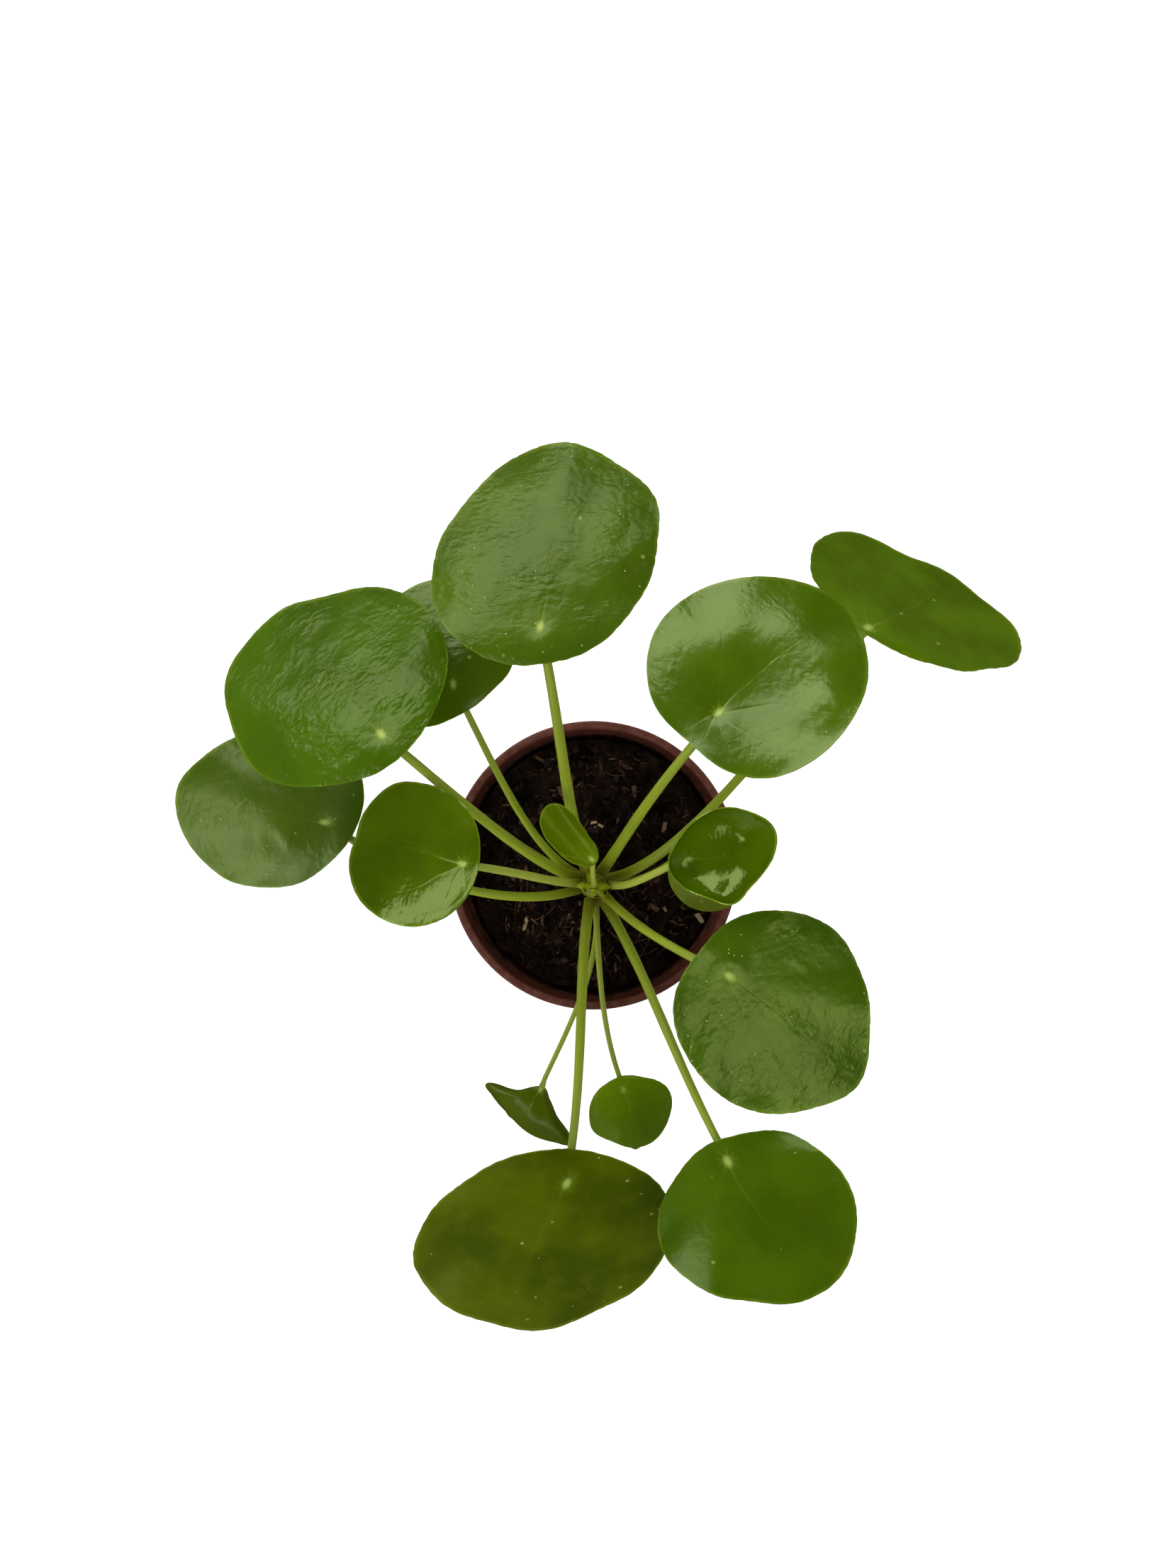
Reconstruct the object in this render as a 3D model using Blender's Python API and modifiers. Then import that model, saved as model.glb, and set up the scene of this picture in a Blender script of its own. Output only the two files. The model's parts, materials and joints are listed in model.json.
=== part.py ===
"""A potted Chinese money plant: round leaves on long stalks round one short stem, in a plastic nursery pot.

Metres, +Z up. The origin is the middle of the pot's underside, which stands on the ground at Z = 0.
+Y is the side that the tallest leaf leans to. Angles are in degrees, compass angles are counted from +X
towards +Y.
"""

import math
from dataclasses import dataclass

import bmesh
import bpy
from mathutils import Vector, noise

# Driving dimensions
GAP = 0.0003
POT_HEIGHT = 0.100
POT_RIM_RADIUS = 0.060
POT_BASE_RADIUS = 0.042
POT_WALL = 0.0012
POT_BASE_THICKNESS = 0.0018
RIM_LIP_WIDTH = 0.0034
RIM_BAND_HEIGHT = 0.011
RIM_ROUNDING = 0.0008
POT_STEPS = 48
POT_COLOUR = (0.115, 0.026, 0.019)
DRAIN_HOLES = 6
DRAIN_HOLE_RADIUS = 0.0045
DRAIN_HOLE_SIDES = 16
DRAIN_RING_RADIUS = 0.029

SOIL_DEPTH_SIDES = 0.019
SOIL_DEPTH_ENDS = 0.011
SOIL_MOUND = 0.0042
SOIL_LUMP, SOIL_LUMP_SIZE = 0.0022, 0.011
SOIL_CRUMB, SOIL_CRUMB_SIZE = 0.0011, 0.0048
SOIL_GAP = 0.0005
SOIL_SEGMENTS = 40
SOIL_TOP_RINGS = 8
SOIL_COLOUR = (0.012, 0.008, 0.006)

STEM_X, STEM_Y = 0.0002, -0.0069
STEM_FOOT_Z = 0.062
STEM_TOP_Z = 0.1325
STEM_RADIUS = 0.0050
STEM_FOOT_RADIUS = 0.0035
STEM_CROWN_RISE = 0.0040
STEM_CROWN_STEPS = 4
STEM_SCAR_SPACING = 0.0085
STEM_SCAR_RISE = 0.0003
STEM_SCAR_DROP = 0.0060
STEM_STEPS = 20
STEM_COLOUR = (0.130, 0.170, 0.030)

BLADE_THICKNESS = 0.0008
BLADE_SEGMENTS = 32
BLADE_RINGS = (0.30, 0.56, 0.80, 1.0)
POINT_HALF_WIDTH = 0.12
BROAD_WAVES, NARROW_WAVES = 5, 8
BROAD_SHIFT, NARROW_SHIFT = 1.7, 0.9
NARROW_SHARE = 0.6
PETIOLE_POINTS = 10
HANDLE_SHARE = 0.35
PETIOLE_COLOUR = (0.240, 0.340, 0.030)

# Heights at which the leaf stalks leave the stem, the youngest at the top
TIER_HEIGHTS = {"top": 0.1275, "upper": 0.1213, "lower": 0.1150, "bottom": 0.1085}


@dataclass
class Stalk:
    """A leaf stalk, from the stem to the underside of the blade."""

    tier: str  # height at which it leaves the stem
    leaves: float  # compass angle there
    lift: float  # how steeply it rises there
    reaches: float  # compass angle at the blade
    ends: float  # how steeply it still rises there
    thick: float  # diameter at the stem
    thin: float  # diameter at the blade


@dataclass
class Leaf:
    """One leaf. The spot is where the stalk meets the blade, away from its middle and near its base."""

    number: int
    spot: tuple  # place of the blade over the end of the stalk
    heading: float  # compass angle from the spot to the blade's tip
    droop: float  # how far the tip hangs below level
    bank: float  # how far the left side is raised, seen along the heading
    middle: float  # distance along the midrib from the spot to the middle of the outline
    margin: tuple  # distances from that middle to the margin, every 30 degrees from the tip to the left
    stalk: Stalk
    cup: float = -10  # turn of the blade from spot to margin: upwards like a bowl, downwards if negative
    fold: float = 0  # turn of the blade from midrib to side margins: upwards, or downwards like a tent
    ripple: float = 0.0009  # height of the waves along the margin
    swells: tuple = ()  # low swells: place along and across from the spot, size and height
    point: float = 0.0  # length of the pointed tip
    colour: tuple = (0.060, 0.150, 0.012)


SHADED = (0.035, 0.085, 0.004)
YOUNG = (0.110, 0.220, 0.012)

LEAVES = (
    Leaf(1, (-0.019, 0.088, 0.220), 83, 14.6, -13.9, 0.0348,
         (0.0417, 0.0424, 0.0401, 0.0445, 0.0495, 0.0496, 0.0475, 0.0439, 0.0388, 0.0371, 0.0394, 0.0384),
         Stalk("top", 112, 66, 101, 30, 0.0050, 0.0032), cup=-15,
         swells=((0.028, 0, 0.018, 0.0002), (0.055, 0.018, 0.014, 0.0003), (0.017, 0.022, 0.023, 0.0011),
                 (-0.003, -0.002, 0.005, 0.0011), (0.034, -0.022, 0.018, 0.0005))),
    Leaf(2, (-0.075, 0.051, 0.210), 134, 24.7, 2.4, 0.0323,
         (0.0472, 0.0514, 0.0467, 0.0446, 0.0412, 0.0402, 0.0434, 0.0423, 0.0432, 0.0441, 0.0444, 0.0416),
         Stalk("upper", 157, 60, 138, 42, 0.0046, 0.0031), cup=-18.6, fold=-4,
         swells=((0.009, -0.002, 0.023, 0.0007), (0.050, 0.015, 0.019, -0.0006),
                 (0.023, 0.026, 0.017, -0.0002), (0.004, -0.002, 0.006, -0.0007),
                 (0.033, -0.031, 0.014, -0.001), (0.053, -0.016, 0.018, -0.0004))),
    Leaf(3, (-0.052, 0.070, 0.180), 100, 14.1, -6.1, 0.017,
         (0.0277, 0.0285, 0.0271, 0.0265, 0.0286, 0.0327, 0.0282, 0.0252, 0.0261, 0.0236, 0.0244, 0.0253),
         Stalk("lower", 149, 52, 116, 23, 0.0034, 0.0024), cup=-8, ripple=0.0006, colour=SHADED,
         swells=((0.009, -0.001, 0.009, 0.0008), (-0.003, -0.002, 0.005, 0.001))),
    Leaf(4, (-0.102, 0.019, 0.160), 171, 10.7, -12.2, 0.0273,
         (0.0382, 0.0362, 0.0337, 0.0308, 0.0314, 0.0334, 0.0390, 0.0438, 0.0403, 0.0326, 0.0300, 0.0321),
         Stalk("lower", 197, 52, 137, 13, 0.0038, 0.0029), cup=-12, fold=7, ripple=0.0007,
         swells=((0.016, 0.009, 0.007, 0.0016), (0.031, 0.030, 0.015, -0.0008),
                 (0.010, -0.016, 0.023, -0.0007), (0.020, 0.003, 0.015, 0.0019))),
    Leaf(5, (-0.047, 0.005, 0.200), 168, 18.5, 10.1, 0.0200,
         (0.0215, 0.0238, 0.0261, 0.0279, 0.0296, 0.0292, 0.0266, 0.0266, 0.0262, 0.0255, 0.0258, 0.0234),
         Stalk("top", 171, 68, 170, 43, 0.0036, 0.0028), cup=26, ripple=0.0003, colour=YOUNG,
         swells=((0.004, 0.004, 0.019, 0.002), (0.024, 0.022, 0.010, -0.0014), (0, -0.003, 0.006, -0.001),
                 (0.008, 0.007, 0.007, -0.0012))),
    Leaf(6, (0.042, 0.058, 0.230), 42, 3.4, -25.3, 0.0241,
         (0.0353, 0.0345, 0.0355, 0.0393, 0.0426, 0.0419, 0.0380, 0.0402, 0.0405, 0.0368, 0.0343, 0.0337),
         Stalk("upper", 59, 60, 50, 34, 0.0045, 0.0030), cup=-8.6, fold=17, ripple=0.0006, colour=YOUNG,
         swells=((0.014, 0, 0.014, -0.0017), (0.026, 0.012, 0.030, 0.0025), (0.007, 0.021, 0.019, 0.0024),
                 (0.001, 0.002, 0.005, -0.0007), (0.030, -0.023, 0.010, 0.0016),
                 (0.041, 0, 0.017, 0.0019))),
    Leaf(7, (0.102, 0.092, 0.175), 28, 46, -28, 0.034,
         (0.0485, 0.0430, 0.0518, 0.0467, 0.0414, 0.0377, 0.0386, 0.0338, 0.0369, 0.0376, 0.0480, 0.0514),
         Stalk("lower", 18, 53, 48, 15, 0.0042, 0.0029), cup=-6, ripple=0.0008, colour=SHADED),
    Leaf(8, (0.034, 0.006, 0.185), 10, 8.3, 7.8, 0.015,
         (0.0225, 0.0276, 0.0269, 0.0268, 0.0241, 0.0238, 0.0260, 0.0235, 0.0208, 0.0222, 0.0185, 0.0189),
         Stalk("top", 2, 74, 28, 36, 0.0032, 0.0026), cup=76, ripple=0.0004, colour=YOUNG,
         swells=((0.013, -0.007, 0.012, 0.0008), (0.022, 0.006, 0.005, -0.0015),
                 (0.009, 0.005, 0.009, 0.0007), (-0.003, -0.011, 0.010, -0.0025),
                 (0.008, -0.011, 0.006, 0.0022), (0.025, -0.012, 0.006, -0.0007))),
    Leaf(9, (0.037, 0.008, 0.150), -40, 14, 0, 0.011,
         (0.0170, 0.0170, 0.0170, 0.0170, 0.0170, 0.0170, 0.0170, 0.0170, 0.0170, 0.0170, 0.0170, 0.0170),
         Stalk("bottom", 2, 52, 40, 44, 0.0026, 0.0020), cup=10, ripple=0.0004),
    Leaf(10, (0.049, -0.036, 0.190), -38, 7.2, -13.2, 0.0244,
         (0.0417, 0.0370, 0.0373, 0.0390, 0.0384, 0.0387, 0.0383, 0.0402, 0.0379, 0.0365, 0.0362, 0.0372),
         Stalk("top", -43, 57, -24, 36, 0.0036, 0.0030), cup=-6,
         swells=((0.021, 0.004, 0.014, 0.0004), (-0.001, 0.004, 0.006, 0.0011))),
    Leaf(11, (0.049, -0.105, 0.182), -62, 14, 8, 0.031,
         (0.0390, 0.0381, 0.0361, 0.0360, 0.0367, 0.0390, 0.0393, 0.0382, 0.0392, 0.0391, 0.0358, 0.0353),
         Stalk("upper", -58, 33, -61, 14, 0.0042, 0.0029), cup=-8, colour=SHADED),
    Leaf(12, (-0.010, -0.117, 0.165), -115, 24, -19, 0.031,
         (0.0501, 0.0544, 0.0515, 0.0544, 0.0537, 0.0505, 0.0453, 0.0441, 0.0407, 0.0431, 0.0484, 0.0503),
         Stalk("upper", -103, 56, -101, 12, 0.0044, 0.0031), cup=-8, colour=SHADED),
    Leaf(13, (0.012, -0.090, 0.115), -79, 26, 4, 0.014,
         (0.0182, 0.0186, 0.0179, 0.0195, 0.0201, 0.0193, 0.0197, 0.0177, 0.0166, 0.0169, 0.0187, 0.0162),
         Stalk("lower", -86, 17, -69, -10, 0.0025, 0.0020), cup=-8, fold=-20, ripple=0.0003, point=0.0012),
    Leaf(14, (-0.0211, -0.0905, 0.110), -125, -2.8, -10.9, 0.0186,
         (0.0110, 0.0156, 0.0167, 0.0200, 0.0150, 0.0161, 0.0191, 0.0099, 0.0099, 0.0143, 0.0105, 0.0097),
         Stalk("bottom", -83, 15, -114, -9, 0.0024, 0.0020), cup=-90, fold=86, ripple=0.0003, point=0.0008),
    Leaf(15, (-0.0004, 0.0051, 0.176), 128, -4, -14, 0.0133,
         (0.0137, 0.0132, 0.0114, 0.0100, 0.0098, 0.0120, 0.0146, 0.0108, 0.0074, 0.0072, 0.0096, 0.0116),
         Stalk("tip", 90, 73, 84, 63, 0.0022, 0.0018), cup=6, fold=92, ripple=0.0002, colour=YOUNG),
)


def clear_scene():
    for obj in list(bpy.data.objects):
        bpy.data.objects.remove(obj, do_unlink=True)


def collection_named(name):
    collection = bpy.data.collections.new(name)
    bpy.context.scene.collection.children.link(collection)
    return collection


def object_from(name, mesh, collection):
    obj = bpy.data.objects.new(name, mesh)
    collection.objects.link(obj)
    return obj


def give_finish(obj, colour, roughness):
    material = bpy.data.materials.new(f"{obj.name}_finish")
    material.use_nodes = True
    shader = material.node_tree.nodes["Principled BSDF"]
    shader.inputs["Base Color"].default_value = (*colour, 1.0)
    shader.inputs["Roughness"].default_value = roughness
    shader.inputs["Metallic"].default_value = 0.0
    obj.data.materials.append(material)


def turned(name, profile, steps, collection):
    """A solid turned about Z from a profile of (radius, height), which runs down its outer side."""
    mesh = bpy.data.meshes.new(name)
    points = [(radius, 0.0, height) for radius, height in profile]
    mesh.from_pydata(points, [(i, i + 1) for i in range(len(points) - 1)], [])
    obj = object_from(name, mesh, collection)
    screw = obj.modifiers.new("turn", "SCREW")
    screw.steps = steps
    screw.render_steps = steps
    screw.use_merge_vertices = True
    screw.merge_threshold = 0.00001
    return obj


def drill_through(body, name, sides, radius, depth, location, cutters):
    """Cuts an upright round hole, with a cylinder kept among the cutters."""
    bpy.ops.mesh.primitive_cylinder_add(vertices=sides, radius=radius, depth=depth, location=location)
    drill = bpy.context.object
    drill.name = f"{name}_drill"
    drill.hide_render = True
    drill.display_type = "WIRE"
    for collection in list(drill.users_collection):
        collection.objects.unlink(drill)
    cutters.objects.link(drill)
    hole = body.modifiers.new(name, "BOOLEAN")
    hole.operation = "DIFFERENCE"
    hole.solver = "EXACT"
    hole.object = drill


def smooth_mesh(mesh, sharp_angle):
    mesh.shade_smooth()
    mesh.set_sharp_from_angle(angle=math.radians(sharp_angle))


# Pot
def wall_radius(height):
    """Outer radius of the pot's wall below its rim band."""
    top = POT_RIM_RADIUS - RIM_LIP_WIDTH + POT_WALL
    return POT_BASE_RADIUS + (top - POT_BASE_RADIUS) * height / POT_HEIGHT


def pot_profile():
    """Rim band, wall and base in one closed loop, down the outside and up the inside."""
    inner_rim = POT_RIM_RADIUS - RIM_LIP_WIDTH
    band_foot = POT_HEIGHT - RIM_BAND_HEIGHT
    return [
        (inner_rim, POT_HEIGHT - RIM_ROUNDING),
        (inner_rim + RIM_ROUNDING, POT_HEIGHT),
        (POT_RIM_RADIUS - RIM_ROUNDING, POT_HEIGHT),
        (POT_RIM_RADIUS, POT_HEIGHT - RIM_ROUNDING),
        (POT_RIM_RADIUS - RIM_ROUNDING, band_foot + RIM_ROUNDING),
        (POT_RIM_RADIUS - 2 * RIM_ROUNDING, band_foot),
        (wall_radius(band_foot), band_foot),
        (wall_radius(POT_BASE_THICKNESS), POT_BASE_THICKNESS),
        (POT_BASE_RADIUS - RIM_ROUNDING, 0.0),
        (0.0, 0.0),
        (0.0, POT_BASE_THICKNESS),
        (POT_BASE_RADIUS - POT_WALL, POT_BASE_THICKNESS),
        (wall_radius(band_foot) - POT_WALL, band_foot),
        (inner_rim, POT_HEIGHT - RIM_ROUNDING),
    ]


def make_pot(parts, cutters):
    pot = turned("pot", pot_profile(), POT_STEPS, parts)
    for i in range(DRAIN_HOLES):
        angle = math.tau * i / DRAIN_HOLES
        place = (DRAIN_RING_RADIUS * math.cos(angle), DRAIN_RING_RADIUS * math.sin(angle), 0.0)
        depth = 4 * POT_BASE_THICKNESS
        drill_through(pot, f"drain_{i + 1}", DRAIN_HOLE_SIDES, DRAIN_HOLE_RADIUS, depth, place, cutters)
    smooth_mesh(pot.data, 35)
    give_finish(pot, POT_COLOUR, 0.55)
    return pot


# Soil
def soil_height(x, y):
    """Height of the soil's surface: low at the sides, piled up round the stem, and lumpy."""
    radius = math.hypot(x, y)
    side = (x / radius) ** 2 if radius > 0 else 0.0
    reach = min(1.0, radius / POT_RIM_RADIUS)
    depth = SOIL_DEPTH_ENDS + (SOIL_DEPTH_SIDES - SOIL_DEPTH_ENDS) * side * reach
    mound = SOIL_MOUND * (1.0 - reach**2)
    place = Vector((x, y, 0.0)) / SOIL_LUMP_SIZE
    crumbs = Vector((x, y, 0.0)) / SOIL_CRUMB_SIZE
    lumps = SOIL_LUMP * noise.noise(place) + SOIL_CRUMB * noise.noise(crumbs)
    return POT_HEIGHT - depth + mound + lumps


def soil_wall_radius(height):
    return wall_radius(height) - POT_WALL - SOIL_GAP


def make_soil(parts, cutters):
    """One closed body: a disc below, a wall just inside the pot, and rings of lumpy surface on top."""
    shape = bmesh.new()
    floor_z = POT_BASE_THICKNESS + GAP
    angles = [math.tau * i / SOIL_SEGMENTS for i in range(SOIL_SEGMENTS)]

    def ring(radius, height_at):
        points = [(radius * math.cos(a), radius * math.sin(a)) for a in angles]
        return [shape.verts.new((x, y, height_at(x, y))) for x, y in points]

    top_radius = soil_wall_radius(POT_HEIGHT - SOIL_DEPTH_SIDES - SOIL_LUMP - SOIL_CRUMB)
    floor_ring = ring(soil_wall_radius(floor_z), lambda x, y: floor_z)
    rings = [floor_ring]
    for i in range(SOIL_TOP_RINGS):
        rings.append(ring(top_radius * (1 - i / SOIL_TOP_RINGS), soil_height))
    for outer, inner in zip(rings, rings[1:]):
        for i in range(SOIL_SEGMENTS):
            j = (i + 1) % SOIL_SEGMENTS
            shape.faces.new((outer[i], outer[j], inner[j], inner[i]))
    crest = shape.verts.new((0.0, 0.0, soil_height(0.0, 0.0)))
    for i in range(SOIL_SEGMENTS):
        shape.faces.new((rings[-1][i], rings[-1][(i + 1) % SOIL_SEGMENTS], crest))
    shape.faces.new(reversed(floor_ring))
    bmesh.ops.triangulate(shape, faces=shape.faces[:])
    bmesh.ops.recalc_face_normals(shape, faces=shape.faces[:])
    mesh = bpy.data.meshes.new("soil")
    shape.to_mesh(mesh)
    shape.free()
    soil = object_from("soil", mesh, parts)
    hole_radius = STEM_RADIUS + STEM_SCAR_RISE + GAP
    place = (STEM_X, STEM_Y, STEM_FOOT_Z - GAP + POT_HEIGHT / 2)
    drill_through(soil, "stem_hole", STEM_STEPS, hole_radius, POT_HEIGHT, place, cutters)
    smooth_mesh(mesh, 60)
    give_finish(soil, SOIL_COLOUR, 0.95)
    return soil


# Stem
def make_stem(parts):
    """A short upright stem with the scars of fallen leaves as low rings, closed by a rounded top."""
    shoulder = STEM_TOP_Z - STEM_CROWN_RISE
    profile = [(0.0, STEM_TOP_Z)]
    for step in range(1, STEM_CROWN_STEPS):
        turn = math.pi / 2 * step / STEM_CROWN_STEPS
        profile.append((STEM_RADIUS * math.sin(turn), shoulder + STEM_CROWN_RISE * math.cos(turn)))
    height = shoulder
    while height > STEM_FOOT_Z + STEM_SCAR_SPACING:
        profile.append((STEM_RADIUS, height))
        profile.append((STEM_RADIUS + STEM_SCAR_RISE, height - STEM_SCAR_DROP))
        height -= STEM_SCAR_SPACING
    profile += [(STEM_RADIUS, height), (STEM_FOOT_RADIUS, STEM_FOOT_Z), (0.0, STEM_FOOT_Z)]
    stem = turned("stem", profile, STEM_STEPS, parts)
    stem.location = (STEM_X, STEM_Y, 0.0)
    smooth_mesh(stem.data, 60)
    give_finish(stem, STEM_COLOUR, 0.6)
    return stem


# Leaves
def leaf_axes(leaf):
    """Unit vectors of a blade: along its midrib, to its left, and out of its upper face."""
    heading, droop, bank = (math.radians(angle) for angle in (leaf.heading, leaf.droop, leaf.bank))
    midrib = Vector(
        (math.cos(heading) * math.cos(droop), math.sin(heading) * math.cos(droop), -math.sin(droop))
    )
    level_left = Vector((-math.sin(heading), math.cos(heading), 0.0))
    left = level_left * math.cos(bank) + midrib.cross(level_left) * math.sin(bank)
    return midrib, left, midrib.cross(left)


def margin_distance(leaf, angle):
    """Distance from the blade's middle to its margin, on a smooth closed curve through leaf.margin."""
    place = angle / math.tau * len(leaf.margin)
    i = int(place)
    f = place - i
    a, b, c, d = (leaf.margin[(i + k) % len(leaf.margin)] for k in (-1, 0, 1, 2))
    return b + 0.5 * f * (c - a + f * (2 * a - 5 * b + 4 * c - d + f * (3 * (b - c) + d - a)))


def swelling(leaf, along, across):
    """Height of the blade's low swells at a flat place. The spot keeps its height."""
    rise = 0.0
    for swell_along, swell_across, size, height in leaf.swells:
        away = math.hypot(along - swell_along, across - swell_across) / size
        spot_away = math.hypot(swell_along, swell_across) / size
        rise += height * (math.exp(-(away**2)) - math.exp(-(spot_away**2)))
    return rise


def blade_point(leaf, axes, angle, reach):
    """The blade's mid surface, at an angle round its middle and a share of the way from spot to margin."""
    radius = margin_distance(leaf, angle)
    radius += leaf.point * max(0.0, 1 - abs(math.remainder(angle, math.tau)) / POINT_HALF_WIDTH)
    along = leaf.middle + radius * math.cos(angle)
    across = radius * math.sin(angle)
    length = math.hypot(along, across)
    swell = swelling(leaf, along * reach, across * reach)
    cup = math.radians(leaf.cup) / length
    travelled = reach * length
    if abs(cup) > 0:
        out = math.sin(cup * travelled) / cup / length
        rise = (1 - math.cos(cup * travelled)) / cup
    else:
        out, rise = reach, 0.0
    along *= out
    across *= out
    wave = math.sin(BROAD_WAVES * angle + BROAD_SHIFT * leaf.number)
    wave += NARROW_SHARE * math.sin(NARROW_WAVES * angle + NARROW_SHIFT * leaf.number)
    rise += leaf.ripple * reach**3 * wave + swell
    if leaf.fold:
        fold = math.radians(leaf.fold) / max(leaf.margin)
        across, rise = (
            math.sin(fold * across) * (1 / fold - rise),
            (1 - math.cos(fold * across)) / fold + rise * math.cos(fold * across),
        )
    midrib, left, up = axes
    return Vector(leaf.spot) + along * midrib + across * left + rise * up


def make_blade(leaf, parts):
    """A fan of triangles round the spot, thickened evenly. The faces are split before they get thickness."""
    axes = leaf_axes(leaf)
    shape = bmesh.new()
    hub = shape.verts.new(leaf.spot)
    rings = []
    for reach in BLADE_RINGS:
        angles = [math.tau * i / BLADE_SEGMENTS for i in range(BLADE_SEGMENTS)]
        rings.append([shape.verts.new(blade_point(leaf, axes, angle, reach)) for angle in angles])
    for i in range(BLADE_SEGMENTS):
        shape.faces.new((hub, rings[0][i], rings[0][(i + 1) % BLADE_SEGMENTS]))
    for inner, outer in zip(rings, rings[1:]):
        for i in range(BLADE_SEGMENTS):
            j = (i + 1) % BLADE_SEGMENTS
            shape.faces.new((inner[i], outer[i], outer[j]))
            shape.faces.new((inner[i], outer[j], inner[j]))
    mesh = bpy.data.meshes.new(f"leaf_{leaf.number:02d}_blade")
    shape.to_mesh(mesh)
    shape.free()
    blade = object_from(mesh.name, mesh, parts)
    thickness = blade.modifiers.new("thickness", "SOLIDIFY")
    thickness.thickness = BLADE_THICKNESS
    thickness.offset = 0.0
    smooth_mesh(mesh, 60)
    give_finish(blade, leaf.colour, 0.35)
    return blade


def direction(compass, elevation):
    compass, elevation = math.radians(compass), math.radians(elevation)
    return Vector(
        (math.cos(compass) * math.cos(elevation), math.sin(compass) * math.cos(elevation), math.sin(elevation))
    )


def petiole_path(leaf):
    """Points along a stalk: out of the stem at its tier, up in one arch, and under the blade's spot."""
    stalk = leaf.stalk
    if stalk.tier == "tip":
        tilt = math.cos(math.radians(stalk.lift)) * stalk.thick / 2
        start = Vector((STEM_X, STEM_Y, STEM_TOP_Z + GAP + tilt))
    else:
        slant = math.sin(math.radians(stalk.lift)) * stalk.thick / 2
        stand_off = STEM_RADIUS + STEM_SCAR_RISE + GAP + slant
        start = Vector((STEM_X, STEM_Y, TIER_HEIGHTS[stalk.tier])) + stand_off * direction(stalk.leaves, 0)
    leaving, arriving = direction(stalk.leaves, stalk.lift), direction(stalk.reaches, stalk.ends)
    up = leaf_axes(leaf)[2]
    below = BLADE_THICKNESS / 2 + 2 * GAP + math.sin(arriving.angle(up)) * stalk.thin / 2
    end = Vector(leaf.spot) - below * up
    span = (end - start).length
    first, second = start + HANDLE_SHARE * span * leaving, end - HANDLE_SHARE * span * arriving
    path = []
    for i in range(PETIOLE_POINTS):
        t = i / (PETIOLE_POINTS - 1)
        s = 1 - t
        path.append(s**3 * start + 3 * s * s * t * first + 3 * s * t * t * second + t**3 * end)
    return path


def make_petiole(leaf, parts):
    """A round tube, thickest at the stem."""
    name = f"leaf_{leaf.number:02d}_petiole"
    curve = bpy.data.curves.new(name, "CURVE")
    curve.dimensions = "3D"
    curve.bevel_depth = leaf.stalk.thick / 2
    curve.bevel_resolution = 2
    curve.use_fill_caps = True
    spline = curve.splines.new("POLY")
    path = petiole_path(leaf)
    spline.points.add(len(path) - 1)
    for i, (point, place) in enumerate(zip(spline.points, path)):
        point.co = (*place, 1.0)
        point.radius = 1 + (leaf.stalk.thin / leaf.stalk.thick - 1) * i / (len(path) - 1)
    petiole = object_from(name, curve, parts)
    give_finish(petiole, PETIOLE_COLOUR, 0.45)
    return petiole


clear_scene()
plant = collection_named("potted_chinese_money_plant")
drills = collection_named("cutters")
make_pot(plant, drills)
make_soil(plant, drills)
make_stem(plant)
for grown in LEAVES:
    make_blade(grown, plant)
    make_petiole(grown, plant)
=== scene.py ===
"""Looks of a potted Chinese money plant: round leaves on long stalks, in a plastic nursery pot of soil.

Metres, +Z up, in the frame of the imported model. Compass angles are in degrees, counted from +X towards +Y.
The sections follow the plant as it is put together: pot, soil, lie of the leaves, stem, leaf stalks,
leaf blades, studio.
"""

import json
import math
import random
from dataclasses import dataclass

import bpy
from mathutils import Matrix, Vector, noise


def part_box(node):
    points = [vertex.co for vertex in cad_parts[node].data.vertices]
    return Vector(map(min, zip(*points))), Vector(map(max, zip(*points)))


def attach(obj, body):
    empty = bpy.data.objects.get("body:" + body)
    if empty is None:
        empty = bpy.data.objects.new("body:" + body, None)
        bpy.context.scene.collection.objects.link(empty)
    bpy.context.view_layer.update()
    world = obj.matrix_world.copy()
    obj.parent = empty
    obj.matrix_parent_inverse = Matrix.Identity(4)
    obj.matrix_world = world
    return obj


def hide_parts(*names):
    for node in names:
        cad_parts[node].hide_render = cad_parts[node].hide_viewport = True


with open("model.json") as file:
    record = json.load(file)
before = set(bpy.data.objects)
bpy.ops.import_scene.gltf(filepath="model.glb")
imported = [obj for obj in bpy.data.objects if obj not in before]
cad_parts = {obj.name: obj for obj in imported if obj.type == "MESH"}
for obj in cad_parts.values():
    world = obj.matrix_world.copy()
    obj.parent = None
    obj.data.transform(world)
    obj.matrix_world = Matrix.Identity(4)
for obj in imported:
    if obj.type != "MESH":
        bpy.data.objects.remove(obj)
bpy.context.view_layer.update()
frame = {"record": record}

# Pot
# A 12 cm nursery pot, moulded in one piece from thin red-brown plastic. It has a rim band to stack and
# carry it by, a tapered wall with a shallow step, and six drain holes in its flat base.
POT_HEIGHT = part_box("pot")[1].z
RIM_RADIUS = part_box("pot")[1].x
BASE_RADIUS = 0.042
POT_WALL = 0.0012
BASE_THICKNESS = 0.0018
LIP_WIDTH = 0.0034
BAND_HEIGHT = 0.011
STEP_DROP = 0.026
STEP_DEPTH = 0.0005
POT_SIDES = 128
DRAIN_HOLES = 6
DRAIN_HOLE_RADIUS = 0.0045
DRAIN_RING_RADIUS = 0.029
DRILL_SIDES = 32
HUB_RADIUS = 0.002
SAME_POINT = 0.000001


def wall_radius(height):
    """Outer radius of the pot's wall below its rim band."""
    top = RIM_RADIUS - LIP_WIDTH + POT_WALL
    return BASE_RADIUS + (top - BASE_RADIUS) * height / POT_HEIGHT


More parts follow.
